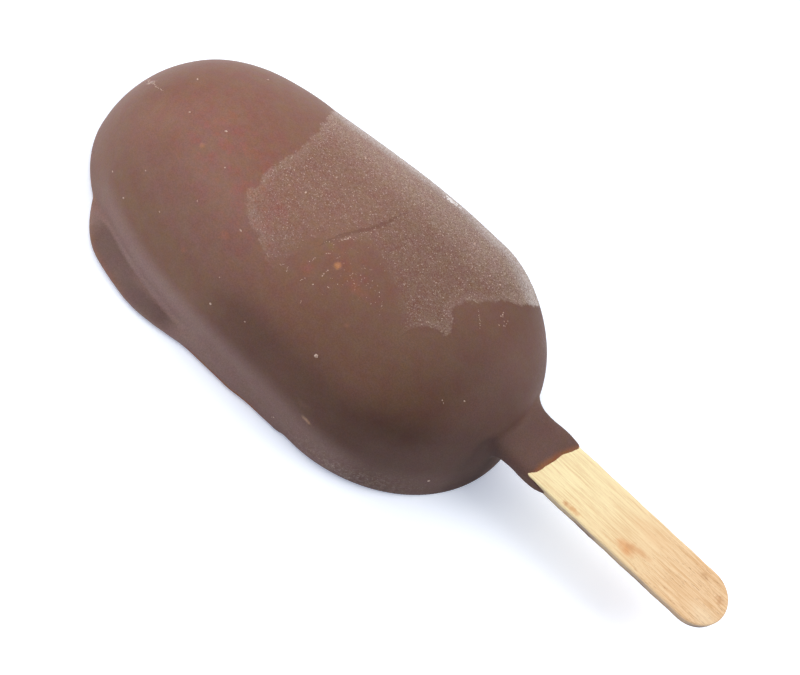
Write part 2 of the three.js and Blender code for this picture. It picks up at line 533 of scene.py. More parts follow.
class MaterialDesk(NodeDesk):
    """A desk on a new material, with a Principled BSDF joined to its output."""

    def __init__(self, name: str, effects: Effects) -> None:
        """Starts the material.

        Args:
            name: its name.
            effects: the shared node groups.
        """
        self.material = bpy.data.materials.new(name)
        self.material.use_nodes = True
        self.material.node_tree.nodes.clear()
        super().__init__(self.material.node_tree)
        self.effects = effects
        self.shader = self.add("ShaderNodeBsdfPrincipled")
        self.add("ShaderNodeOutputMaterial", {"Surface": self.shader.outputs[0]})
        where = self.add("ShaderNodeTexCoord").outputs["Object"]
        self.place = self.mapped(where, Scale=(1 / MM, 1 / MM, 1 / MM))

    def mottle(self, cloud_scale: float, grain_scale: float) -> tuple[NodeSocket, NodeSocket]:
        """Slow clouds and fine grain over the piece."""
        inputs = {"Place": self.place, "Cloud Scale": cloud_scale, "Grain Scale": grain_scale}
        return tuple(self.group(self.effects.mottle, inputs)[name] for name in ("Clouds", "Grain"))

    def drift(self, drift: Drift, where: NodeSocket | None = None) -> NodeSocket:
        """Stepped noise over the piece, or over another place."""
        noise = self.noise(where or self.place, drift.scale, drift.detail, drift.roughness)
        return self.step(noise, drift.low, drift.high, drift.out)

    def wander(self, scale: float, roughness: float, reach: float) -> NodeSocket:
        """Noise over the piece, about zero."""
        return self.times_plus(self.noise(self.place, scale, 3, roughness), reach, -reach / 2)

    def spotted(self, colour: Any, spots: Sequence[Spot]) -> Any:
        """Lays soft spots over a colour.

        Args:
            colour: the colour under them.
            spots: the spots, the lowest first.

        Returns:
            The new colour.
        """
        for spot in spots:
            inputs = {"Place": self.place, "Centre": spot.centre, "Reach": spot.reach}
            inputs.update({"Ragged": spot.ragged, "Ragged Scale": spot.ragged_scale})
            mask = self.group(self.effects.spot, inputs)["Mask"]
            colour = self.blend(self.times(mask, spot.strength), colour, spot.colour)
        return colour

    def finished(self, inputs: dict[str, Any]) -> Material:
        """Feeds the shader and gives the material."""
        self.wire(self.shader, inputs)
        return self.material


@dataclass(frozen=True)
class ChocolateFinish:
    """Milk chocolate, satin, with a frosted patch and a rubbed place in it, and painted shade, a painted
    floor reflection and a painted sheen in its colour.
    """

    brown: Colour = srgb(123, 83, 67)
    warm: Colour = srgb(133, 78, 64)
    # the coating's own greener-brown tone, also used as painted shade on the lower near wall
    olive: Colour = srgb(112, 80, 54)
    # painted shade: a dark brown laid over the coating where shade falls, and into the split
    deep: Colour = srgb(54, 28, 20)
    # a light bloom with a painted reflection of the pale floor in it, low on the near wall and by the neck
    hazy: Colour = srgb(148, 120, 117)
    thin: Colour = srgb(136, 84, 54)
    frost: Colour = srgb(202, 190, 184)
    thin_frost: Colour = srgb(200, 181, 168)
    frost_cells: float = 6.5
    split_shade: float = 0.13
    mottle_scales: Range = (0.16, 2.6)
    patches: Drift = Drift(0.5, 3, 0.6, 0.46, 0.62)
    fine_frost: Drift = Drift(7.5, 2, 0.7, 0.38, 0.7, (-0.03, 0.05))
    bloom_haze: Drift = Drift(1.6, 4, 0.75, 0.4, 0.75)
    dust: Drift = Drift(4.6, 2, 0.6, 0.3, 0.7, (0.88, 1.12))
    hue_drift: Drift = Drift(0.45, 3, 0.6, 0.3, 0.7, (0.489, 0.511))
    saturation_drift: Drift = Drift(0.9, 3, 0.7, 0.3, 0.7, (0.93, 1.07))
    value_range: Range = (0.94, 1.06)
    dull_grains: Range = (0.01, 0.15)
    bright_grains_and_glints: Range = (0.0, 0.46)
    shoulder_range: Range = (0.55, 1.45)
    brink_thickness: float = 0.07
    roughness: Range = (0.47, 0.56)
    deep_roughness: float = 0.28
    frost_roughness: float = 0.2
    frost_height: float = 0.03
    grain_height: float = 0.015
    split_depth: float = 0.06
    spots: tuple[Spot, ...] = (
        Spot((-57.4, -8.0, 19.4), (7.0, 8.0, 8.0), srgb(142, 100, 86), 0.6, 0.3, 0.5),
        Spot((-62.9, -0.4, 15.6), (1.1, 0.9, 1.6), srgb(206, 186, 178), 0.65, 1.2, 1.5),
        Spot((-19.4, -10.0, 26.1), (0.95, 0.95, 0.95), srgb(196, 138, 78), 0.75, 0.8, 1.6),
        Spot((-22.4, -8.2, 26.2), (1.5, 1.0, 1.0), srgb(124, 92, 52), 0.6),
        Spot((-19.3, -6.6, 26.4), (1.1, 1.0, 1.0), srgb(124, 92, 52), 0.4),
        Spot((-22.6, -13.6, 24.5), (2.1, 1.7, 2.0), srgb(136, 76, 62), 0.65, 0.9, 0.8),
        Spot((-15.0, -10.6, 25.6), (2.8, 1.6, 2.0), srgb(134, 76, 62), 0.6, 0.9, 0.8),
        Spot((-30.2, -14.6, 23.2), (2.4, 1.6, 2.0), srgb(136, 78, 64), 0.5, 0.9, 0.8),
        Spot((-48.9, -9.0, 24.2), (0.7, 0.7, 0.7), srgb(168, 112, 78), 0.5),
        Spot((-36.3, -17.3, 21.4), (1.4, 1.1, 1.1), srgb(160, 100, 76), 0.45),
        Spot((-39.8, -20.7, 15.5), (0.8, 0.8, 0.8), srgb(154, 98, 76), 0.5),
        Spot((-11.8, -16.0, 23.6), (0.8, 0.8, 0.8), srgb(146, 94, 72), 0.4),
        Spot((-8.3, -23.8, 10.5), (1.9, 1.2, 1.0), srgb(134, 100, 84), 0.45, 1.0, 0.7),
        Spot((-6.6, -24.8, 8.5), (1.4, 0.8, 0.55), srgb(176, 140, 108), 0.6, 0.8, 1.6),
    )

    def build(self, effects: Effects) -> Material:
        """Builds the material.

        Args:
            effects: the shared node groups.

        Returns:
            The material.
        """
        desk = MaterialDesk("milk_chocolate", effects)
        clouds, grain = desk.mottle(*self.mottle_scales)
        split = self._split_mask(desk)
        frost, brink = self._frost_masks(desk)
        frost = desk.times(frost, desk.maths("SUBTRACT", 1.0, split))
        cells = {"Vector": desk.place, "Scale": self.frost_cells, "Randomness": 1.0}
        cell_colour = desk.add("ShaderNodeTexVoronoi", cells).outputs["Color"]
        random = desk.add("ShaderNodeSeparateColor", {"Color": cell_colour}).outputs[0]

        thickness = self._frost_thickness(desk, random, brink)
        # the shoulder attribute whitens the frost: thicker frost with a painted sheen on the far shoulder
        white = desk.blend(desk.step(desk.attribute("shoulder"), 0.17, 0.34), self.thin_frost, self.frost)
        colour = self._coating(desk, clouds)
        colour = desk.blend(desk.times(frost, thickness, clamp=True), colour, white)
        # painted shade in the split: its line is darkened towards the painted shade colour
        colour = desk.blend(desk.times(split, self.split_shade), colour, self.deep)
        tone = {
            "Hue": desk.drift(self.hue_drift),
            "Saturation": desk.drift(self.saturation_drift),
            "Value": desk.times(desk.drift(self.dust), desk.step(grain, 0.25, 0.75, self.value_range)),
            "Color": colour,
        }
        rough = desk.step(grain, 0.3, 0.7, self.roughness)
        # the painted shade also roughens the coating
        rough = desk.times_plus(desk.attribute("deep"), self.deep_roughness, rough)
        height = desk.times(desk.times(frost, random), self.frost_height)
        height = desk.times_plus(grain, self.grain_height, height)
        height = desk.times_plus(split, -self.split_depth, height)
        return desk.finished({
            "Base Color": desk.add("ShaderNodeHueSaturation", tone).outputs[0],
            "Roughness": desk.times_plus(frost, self.frost_roughness, rough),
            "Specular IOR Level": 0.5,
            "IOR": 1.45,
            "Normal": desk.bump(height, 1.0),
        })

    def _coating(self, desk: MaterialDesk, clouds: Any) -> NodeSocket:
        """Mixes the coating's colour under the frost, with its painted shade and painted reflection.

        Args:
            desk: the material's desk.
            clouds: slow clouds over the coating.

        Returns:
            The colour.
        """
        flush = desk.times_plus(desk.drift(self.patches), 0.75, desk.times(clouds, 0.4))
        warm_share = desk.times(desk.attribute("warm"), desk.plus(flush, 0.12), clamp=True)
        colour = desk.blend(warm_share, self.brown, self.warm)
        for name, tone in (("olive", self.olive), ("deep", self.deep), ("hazy", self.hazy)):
            colour = desk.blend(desk.attribute(name), colour, tone)
        return desk.blend(desk.attribute("thin"), desk.spotted(colour, self.spots), self.thin)

    def _frost_thickness(self, desk: MaterialDesk, random: Any, brink: Any) -> NodeSocket:
        """Measures how thickly the frost's grains cover the coating.

        Args:
            desk: the material's desk.
            random: a number of its own for each grain.
            brink: the patch's thicker brink.

        Returns:
            The thickness, as a share.
        """
        grains = desk.step(random, 0.1, 0.9, self.dull_grains)
        # a few grains much whiter: whiter ice, with painted glints
        grains = desk.plus(grains, desk.step(random, 0.95, 1.0, self.bright_grains_and_glints))
        grains = desk.plus(grains, desk.drift(self.fine_frost))
        thickness = desk.times_plus(brink, self.brink_thickness, grains)
        # the far shoulder's painted sheen adds white, speckled by grain
        speckled = desk.step(random, 0.0, 1.0, self.shoulder_range)
        return desk.times_plus(desk.attribute("shoulder"), speckled, thickness)

    def _frost_masks(self, desk: MaterialDesk) -> tuple[NodeSocket, NodeSocket]:
        """Masks the frost, and the thicker brink just inside the edge of its patch.

        Args:
            desk: the material's desk.

        Returns:
            The two masks.
        """
        crisp = desk.attribute("frost_crisp")
        edge = desk.plus(desk.wander(0.55, 0.6, 2.4), desk.wander(2.6, 0.7, 1.5))
        inside = desk.times_plus(edge, crisp, desk.attribute("frost_inside"))
        patch = desk.times(desk.step(inside, -0.15, 0.4), desk.attribute("frost_amount"))
        bloom = desk.times(desk.attribute("bloom"), desk.drift(self.bloom_haze))
        return desk.maths("MAXIMUM", patch, bloom), desk.times(desk.step(inside, 2.6, 0.1), crisp)

    @staticmethod
    def _split_mask(desk: MaterialDesk) -> NodeSocket:
        """Masks the fine split across the frosted patch.

        Args:
            desk: the material's desk.

        Returns:
            The mask.
        """
        beside = desk.plus(desk.attribute("split_beside"), desk.wander(0.9, 0.6, 1.1))
        width = desk.attribute("split_width")
        return desk.step(desk.maths("SUBTRACT", width, desk.maths("ABSOLUTE", beside)), -0.05, 0.15)


@dataclass(frozen=True)
class CrystalFinish:
    """Tiny pale ice crystals."""

    name: str = "ice_crystals"
    pale: Colour = srgb(178, 158, 146)
    dull: Colour = srgb(134, 104, 90)
    roughness: Range = (0.3, 0.55)
    mottle_scales: Range = (1.7, 5.0)

    def build(self, effects: Effects) -> Material:
        """Builds the material.

        Args:
            effects: the shared node groups.

        Returns:
            The material.
        """
        desk = MaterialDesk(self.name, effects)
        clouds, grain = desk.mottle(*self.mottle_scales)
        return desk.finished({
            "Base Color": desk.blend(desk.step(clouds, 0.1, 0.9), self.dull, self.pale),
            "Roughness": desk.step(grain, 0.3, 0.7, self.roughness),
            "IOR": 1.31,
        })


@dataclass(frozen=True)
class WoodFinish:
    """Pale unvarnished wood with a fine straight grain, and painted shade down its sides."""

    pale: Colour = srgb(253, 239, 191)
    ripe: Colour = srgb(242, 207, 165)
    tan: Colour = srgb(214, 162, 108)
    pore: Colour = srgb(172, 114, 72)
    # painted shade down the stick's sides: the shaded side, and its darkest bottom below
    edge: Colour = srgb(170, 150, 134)
    under: Colour = srgb(112, 84, 66)
    broad: Drift = Drift(0.7, 3, 0.6, 0.35, 0.7)
    lines: Drift = Drift(3.2, 4, 0.7, 0.4, 0.68)
    pores: Drift = Drift(4.6, 3, 0.75, 0.59, 0.7)
    mottle_scales: Range = (0.12, 6.0)
    ripening: Range = (6.0, 40.0)
    drying: Range = (18.0, 42.0)
    streak_stretch: float = 0.05
    pore_stretch: float = 0.12
    grain_height: float = 0.02
    line_depth: float = 0.03
    pore_depth: float = 0.05
    roughness: Range = (0.6, 0.75)
    spots: tuple[Spot, ...] = (
        Spot((34.2, -6.0, 13.4), (0.9, 0.6, 1.0), srgb(196, 128, 74), 0.7, 1.0, 1.8),
        Spot((35.6, -6.0, 13.4), (2.6, 0.8, 1.0), srgb(214, 154, 98), 0.7, 1.2, 1.6),
        Spot((46.5, -4.6, 13.4), (2.7, 1.9, 1.0), srgb(222, 154, 98), 0.8, 0.7, 0.8),
        Spot((47.0, -4.0, 13.4), (1.3, 0.7, 1.0), srgb(192, 132, 84), 0.45, 1.2, 1.6),
        Spot((48.6, -3.4, 13.4), (3.6, 1.1, 1.0), srgb(214, 152, 100), 0.5, 1.0, 0.9),
        Spot((48.2, 0.8, 13.4), (6.5, 2.6, 1.0), srgb(236, 190, 142), 0.3, 0.9, 0.4),
        Spot((59.5, 1.9, 13.4), (1.8, 0.9, 1.0), srgb(196, 144, 98), 0.6, 1.3, 1.2),
        Spot((64.0, 0.2, 13.4), (1.2, 1.3, 1.0), srgb(196, 138, 92), 0.6, 1.3, 1.2),
        Spot((63.6, -4.4, 13.2), (5.0, 2.8, 2.0), srgb(250, 226, 190), 0.5, 0.6, 0.6),
    )

    def build(self, effects: Effects, pivot: Place, turn: float) -> Material:
        """Builds the material.

        Args:
            effects: the shared node groups.
            pivot: a place on the stick's middle line, in mm in the frame.
            turn: the angle of the stick's length about +Z, in radians.

        Returns:
            The material.
        """
        desk = MaterialDesk("stick_wood", effects)
        offset = desk.vector_maths("SUBTRACT", desk.place, pivot).outputs[0]
        lengthwise = desk.mapped(offset, Rotation=(0, 0, -turn))
        streaks = desk.mapped(lengthwise, Scale=(self.streak_stretch, 1.0, 1.0))
        dashes = desk.mapped(lengthwise, Scale=(self.pore_stretch, 1.0, 1.0))
        clouds, grain = desk.mottle(*self.mottle_scales)
        out = desk.add("ShaderNodeSeparateXYZ", {"Vector": lengthwise}).outputs[0]
        towards_end = desk.step(out, *self.drying)

        lines = desk.drift(self.lines, streaks)
        line_share = desk.times(lines, desk.times_plus(towards_end, 0.35, 0.42))
        pore_share = desk.times(desk.drift(self.pores, dashes), desk.times_plus(towards_end, 0.55, 0.2))
        colour = desk.blend(desk.step(out, *self.ripening), self.pale, self.ripe)
        colour = desk.blend(desk.times(desk.drift(self.broad, streaks), 0.2), colour, self.tan)
        colour = desk.blend(line_share, colour, self.tan)
        colour = desk.blend(pore_share, colour, self.pore)
        colour = desk.spotted(colour, self.spots)
        # painted shade on the sides, lighter under the top edge and darkest along the bottom
        side = desk.attribute("side")
        side_shade_share = desk.times(desk.step(side, 0.04, 0.2), desk.step(clouds, 0.1, 0.9, (0.65, 1.0)))
        under_shade_share = desk.times(desk.step(side, 0.45, 0.95), desk.step(clouds, 0.2, 0.8, (0.4, 0.95)))
        colour = desk.blend(side_shade_share, colour, self.edge)
        height = desk.times_plus(lines, -self.line_depth, desk.times(grain, self.grain_height))
        return desk.finished({
            "Base Color": desk.blend(under_shade_share, colour, self.under),
            "Roughness": desk.step(grain, 0.3, 0.7, self.roughness),
            "Specular IOR Level": 0.35,
            "Normal": desk.bump(desk.times_plus(pore_share, -self.pore_depth, height), 0.8),
        })


@dataclass(frozen=True)
class FloorFinish:
    """A plain pale floor that glows a little, as a light table does."""

    tone: Colour = (0.91, 0.93, 0.95)
    glow_tone: Colour = (0.88, 1.0, 1.28)
    glow: float = 0.1
    seen_glow: float = 0.2
    cloud_lift: float = 1.01
    mottle_scales: Range = (0.01, 1.0)

    def build(self, effects: Effects) -> Material:
        """Builds the material.

        Args:
            effects: the shared node groups.

        Returns:
            The material.
        """
        desk = MaterialDesk("pale_floor", effects)
        clouds, _ = desk.mottle(*self.mottle_scales)
        lighter = tuple(min(1.0, level * self.cloud_lift) for level in self.tone)
        seen = desk.add("ShaderNodeLightPath").outputs["Is Camera Ray"]
        return desk.finished({
            "Base Color": desk.blend(clouds, self.tone, lighter),
            "Emission Color": shade(self.glow_tone),
            "Emission Strength": desk.times_plus(seen, self.seen_glow, self.glow),
            "Roughness": 0.9,
            "Specular IOR Level": 0.1,
        })


@dataclass(frozen=True)
class Zone:
    """An amount within smooth steps: what each is measured by, and where it starts and ends."""

    amount: float
    steps: tuple[tuple[str, float, float], ...]

    def over(self, places: dict[str, Points]) -> Points:
        """The amount at each place."""
        steps = (smooth(places[name], low, high) for name, low, high in self.steps)
        return math.prod(steps, start=self.amount)


@dataclass(frozen=True)
class Quarter:
    """One rounded quarter of the bar's outline, in mm."""

    reach: float
    half_width: float
    squareness: float

    def draw(self, start: float, end_x: float, steps: int) -> Points:
        """Its points from a starting angle to a right angle further round.

        Args:
            start: the starting angle.
            end_x: the x that it reaches.
            steps: how many points.

        Returns:
            Their x and y.
        """
        angle = start + RIGHT_ANGLE * np.arange(steps) / steps
        middle = end_x - math.copysign(self.reach, end_x)
        x = middle + self.reach * squared(np.cos(angle), self.squareness)
        return np.stack([x, self.half_width * squared(np.sin(angle), self.squareness)], 1)


@dataclass
class CoatedBar:
    """The bar with its foot of coating and the sleeve on the stick's root. Sizes are in mm."""

    length: float = 87.6
    height: float = 26.7
    neck_foot: Quarter = Quarter(26.5, 24.3, 1.92)
    neck_far: Quarter = Quarter(22, 26.9, 1.93)
    tip_far: Quarter = Quarter(27.9, 24.2, 2)
    tip_foot: Quarter = Quarter(35.6, 22.9, 1.98)
    swell: Place = (0.95, 6.5, 27)
    base_round: float = 1.4
    base_curve: Line = ((1, 0), (0.55, 0.12), (0.3, 0.35), (0.15, 0.65), (0.08, 1))
    widest_height: float = 2.2
    dome_squareness: float = 2.5
    ridge_insets: Range = (28, 23)
    foot_height: float = 4.4
    foot_merged_height: float = 9.6
    foot_merge: Range = (43, 49)
    foot_buried: float = 1.6
    foot_widest: float = 0.32
    foot_reach: Line = (
        (11, -1.6), (27, 3.4), (34, 3.3), (49, 1), (56, 0.9), (62, 0.3), (67, 0.2), (72, -1.6),
    )
    foot_section: Line = (
        (0, 0.6), (0.07, 0.3), (0.14, 0.12), (0.23, 0.02), (0.32, 0), (0.41, 0.12), (0.5, 0.4),
        (0.59, 0.85), (0.68, 1.4), (0.77, 2.2), (0.86, 3.2), (1, 6),
    )
    stick_height: float = 12.4
    stick_turn: float = math.radians(-1.1)
    stick_half: Range = (5.5, 1.0)
    sleeve_sections: tuple[Place, ...] = (
        (-9, 10, 5.5), (-4.4, 8.8, 4.4), (-2.9, 7.6, 3.4), (-1.6, 6.7, 2.6), (-0.3, 6.3, 2.15),
        (1.5, 6.2, 1.95), (3.5, 6.2, 1.9), (5.4, 6.15, 1.85), (7, 6.1, 1.8), (12, 6.1, 1.8),
    )
    lip_across: Line = (
        (-1, 5.5), (-0.83, 5.75), (-0.62, 5.78), (-0.32, 6.0), (-0.06, 6.43), (0.21, 6.8), (0.36, 7.07),
        (0.64, 7.75), (0.92, 8.5), (1, 8.6),
    )
    lip_under: float = 8.6
    lip_softness: float = 0.9
    lip_squareness: float = 4.5
    lip_undercut: float = 0.7
    notch_angle: float = math.radians(149)
    notch_reach: float = 0.3
    notch_depth: float = 1.25
    sleeve_span: Range = (-9, 11)
    sleeve_squareness: Range = (3.2, 2.6)
    hollow: Range = (0.24, 0.29)
    hollow_angle: float = math.radians(205)
    slow_height: float = 0.16
    slow_waves: tuple[Place, ...] = ((0.137, 0.053, 0.03), (-0.067, 0.164, 0.125), (0.21, -0.12, 0.09))
    quick_height: float = 0.035
    quick_waves: tuple[Place, ...] = (
        (0.55, 0.31, 0.4), (-0.42, 0.6, 0.3), (0.3, -0.7, 0.5), (0.8, 0.1, -0.3),
    )
    dimple: Place = (-2.2, -21.2, 14.8)
    dimple_reach: float = 2.6
    dimple_depth: float = 0.22
    voxel: float = 0.395
    neck_zone: Zone = Zone(1, (("out", -11, -6), ("out", 1.2, -0.6), ("z", 1.5, 5), ("beside", 17, 12)))
    neck_rounds: int = 60
    bar_zone: Zone = Zone(1, (("z", 0.4, 1.2), ("out", 3.5, 1.5)))
    bar_rounds: int = 5

    @property
    def neck_x(self) -> float:
        """The end that the stick leaves, from the bar's middle."""
        return self.length / 2

    def placement(self) -> Placement:
        """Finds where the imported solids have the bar's own axes.

        Returns:
            Their place in the frame.
        """
        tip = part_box(Solid.BAR.value)[0].x / MM
        low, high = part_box(Solid.STICK.value)
        middle = (high + low) / 2 / MM
        x = tip + self.length / 2
        return Placement(x, middle.y - (middle.x - x - self.neck_x) * math.tan(self.stick_turn))

    def outline(self) -> tuple[Points, Points, Points]:
        """The bar's outline from above.

        Returns:
            Its points, their outward directions, and how far each is walked from the tip.
        """
        quarter_steps, side_steps = 64, 32
        far_a = np.array([self.neck_x - self.neck_far.reach, self.neck_far.half_width])
        far_b = np.array([-self.neck_x + self.tip_far.reach, self.tip_far.half_width])
        near_a = np.array([-self.neck_x + self.tip_foot.reach, -self.tip_foot.half_width])
        near_b = np.array([self.neck_x - self.neck_foot.reach, -self.neck_foot.half_width])
        share = (np.arange(side_steps) / side_steps)[:, None]
        points = np.vstack([
            self.neck_foot.draw(-RIGHT_ANGLE, self.neck_x, quarter_steps),
            self.neck_far.draw(0, self.neck_x, quarter_steps),
            far_a + (far_b - far_a) * share,
            self.tip_far.draw(RIGHT_ANGLE, -self.neck_x, quarter_steps),
            self.tip_foot.draw(2 * RIGHT_ANGLE, -self.neck_x, quarter_steps),
            near_a + (near_b - near_a) * share,
        ])
        height, middle, half_wave = self.swell
        wave = height * np.cos(math.pi * (points[:, 0] - middle) / half_wave)
        points[:, 1] += wave * smooth(points[:, 1], 0, self.tip_far.half_width)
        along = np.roll(points, -1, axis=0) - np.roll(points, 1, axis=0)
        along /= np.linalg.norm(along, axis=1)[:, None]
        outward = np.stack([along[:, 1], -along[:, 0]], 1)
        steps = np.linalg.norm(points - np.roll(points, 1, axis=0), axis=1)
        steps[: 3 * quarter_steps + side_steps + 1] = 0
        return points, outward, np.cumsum(steps)

    def body_skin(self, outline: Points) -> Skin:
        """Makes the bar itself, from its flat underside over the shoulder to the ridge.

        Args:
            outline: its outline from above.

        Returns:
            The skin.
        """
        base = self.base_round / self.tip_far.half_width
        angles = np.radians(np.linspace(0, 88.5, 64))
        shares = 1 - squared(np.cos(angles), self.dome_squareness)
        rise = squared(np.sin(angles), self.dome_squareness)
        heights = self.widest_height + (self.height - self.widest_height) * rise
        levels = [(base * inset, self.base_round * up) for inset, up in self.base_curve]
        levels += list(zip(shares, heights))
        tip_inset, neck_inset = self.ridge_insets
        ridge_x = np.clip(outline[:, 0], -self.neck_x + tip_inset, self.neck_x - neck_inset)
        ridge = np.stack([ridge_x, np.zeros(len(outline))], 1)
        rings = [
            np.column_stack([outline + (ridge - outline) * share, np.full(len(outline), height)])
            for share, height in levels
        ]
        return rings_to_skin(np.array(rings))

    def foot_skin(self, outline: Points, outward: Points, walked: Points) -> Skin:
        """Makes the flattened foot that spread on the ground along one side.

        Args:
            outline: the bar's outline from above.
            outward: its outward directions.
            walked: how far each of its points is walked from the tip.

        Returns:
            The skin.
        """
        beyond = np.full(len(walked), -self.foot_buried)
        for (start, reach_a), (end, reach_b) in zip(self.foot_reach[:-1], self.foot_reach[1:]):
            here = (walked >= start) & (walked < end)
            beyond[here] = reach_a + (reach_b - reach_a) * smooth(walked[here], start, end)
        merged = smooth(walked, *self.foot_merge)
        rings = []
        for up, back in self.foot_section:
            above = max(0.0, (up - self.foot_widest) / (1 - self.foot_widest))
            extra = above * (self.foot_merged_height - self.foot_height)
            around = outline + outward * (beyond - back)[:, None]
            rings.append(np.column_stack([around, up * self.foot_height + extra * merged]))
        return rings_to_skin(np.array(rings))

    def sleeve_skin(self) -> Skin:
        """Makes the sleeve on the stick's root, which thins out onto the bare wood at a ragged lip.

        Returns:
            The skin.
        """
        steps, ring_count = 160, 90
        angle = 2 * math.pi * np.arange(steps) / steps
        ways = np.cos(angle), np.sin(angle)
        lip = self._lip(*(squared(way, self.lip_squareness) for way in ways))
        notch = np.exp(-(((angle - self.notch_angle) / self.notch_reach) ** 2))
        near_under = smooth(np.cos(angle - self.hollow_angle), 0.3, 0.9)
        outs, widths, heights = np.array(self.sleeve_sections).T
        rings = []
        for out in np.linspace(*self.sleeve_span, ring_count):
            here = np.full(steps, out)
            inside = lip - out
            thinned = 1 - np.exp(-np.maximum(inside, 0) / self.lip_softness)
            under = -self.lip_undercut * smooth(inside, 0, -self.lip_softness)
            coat = np.where(inside > 0, thinned, under)
            coat = coat - self.notch_depth * notch * smooth(here, 4.3, 5.7)
            full_width = np.interp(out, outs, widths) - self.stick_half[0]
            full_height = np.interp(out, outs, heights) - self.stick_half[1]
            squareness = self.sleeve_squareness[0] + self.sleeve_squareness[1] * smooth(here, 2.0, 6.5)
            hollow = near_under * smooth(here, -2, 0)
            half_width = self.stick_half[0] + full_width * coat * (1 - self.hollow[0] * hollow)
            half_height = self.stick_half[1] + full_height * coat * (1 - self.hollow[1] * hollow)
            across, up = (squared(way, squareness) for way in ways)
            rings.append(np.stack([here, across * half_width, up * half_height], 1))
        points, faces = rings_to_skin(np.array(rings))
        turn = Matrix.Rotation(self.stick_turn, 3, "Z")
        return points @ np.array(turn).T + np.array([self.neck_x, 0, self.stick_height]), faces

    def _lip(self, across: Points, up: Points) -> Points:
        """How far out the ragged lip lies at each place round the stick.

        Args:
            across: the places' shares of the stick's half width.
            up: their shares of its half height.

        Returns:
            The distances from the bar's neck end, in mm.
        """
        top = smooth(up, 0.2, 0.85)
        lip = self.lip_under + (course(self.lip_across, across) - self.lip_under) * top
        return lip + 0.05 * np.sin(across * 13.0 + 1.0) + 0.04 * np.sin(across * 29.0 + up * 9)

    def build(self) -> Object:
        """Builds the piece in the frame, with what its finish needs kept on its vertices.

        Returns:
            The coated bar.
        """
        place = self.placement()
        outline, outward, walked = self.outline()
        skins = [self.body_skin(outline), self.foot_skin(outline, outward, walked), self.sleeve_skin()]
        mesh = fuse(skins, self.voxel)
        x, y, z = mesh_points(mesh).T
        places = {"out": x - self.neck_x, "beside": np.abs(y), "z": z}
        relax(mesh, self.neck_zone.over(places), self.neck_rounds)
        relax(mesh, self.bar_zone.over(places), self.bar_rounds)
        self._uneven(mesh)
        beyond_wall = self._beyond_wall(mesh, skins[0])
        set_points(mesh, place.to_frame(mesh_points(mesh)))
        CoatTones().mark(mesh, self, beyond_wall)
        set_points(mesh, mesh_points(mesh) * MM)
        mesh.shade_smooth()
        mesh.name = "chocolate_bar"
        log.info("chocolate bar: %d vertices", len(mesh.vertices))
        return in_scene(bpy.data.objects.new("chocolate_bar", mesh))

    @staticmethod
    def _beyond_wall(mesh: Mesh, body: Skin) -> Points:
        """Measures how far each low vertex stands outside the bar's own wall.

        Args:
            mesh: the fused mesh, in mm on the bar's own axes.
            body: the bar's own skin.

        Returns:
            The distances, in mm.
        """
        wall = BVHTree.FromPolygons(body[0].tolist(), body[1])
        points = mesh_points(mesh)
        beyond = np.zeros(len(points))
        for index in np.flatnonzero((points[:, 2] < 8) & (points[:, 1] < 0)):
            spot = Vector(points[index].tolist())
            near, facing, _, gap = wall.find_nearest(spot)
            beyond[index] = gap if (spot - near).dot(facing) > 0 else 0.0
        return beyond

    def _uneven(self, mesh: Mesh) -> None:
        """Gives the skin the slow unevenness of a dipped coating and its one soft dimple.

        Args:
            mesh: the fused mesh, which is changed.
        """
        points = mesh_points(mesh)
        slow = self.slow_height * ripple(points, self.slow_waves, 3)
        raised = slow + self.quick_height * ripple(points, self.quick_waves, 5)
        clear = smooth(points[:, 2], 0.6, 4) * smooth(points[:, 0] - self.neck_x, 0.5, -4)
        dimple = np.exp(-np.sum(((points - np.array(self.dimple)) / self.dimple_reach) ** 2, 1))
        raised = raised * clear - self.dimple_depth * dimple
        set_points(mesh, points + mesh_normals(mesh) * raised[:, None])


@dataclass(frozen=True)
class Hill:
    """A soft rise of a tone about a place seen from above, in mm in the frame."""

    height: float
    x: float
    y: float
    reach_x: float
    reach_y: float

    def over(self, points: Points) -> Points:
        """Its height at each place."""
        x, y = (points[:, 0] - self.x) / self.reach_x, (points[:, 1] - self.y) / self.reach_y
        return self.height * np.exp(-x ** 2 - y ** 2)


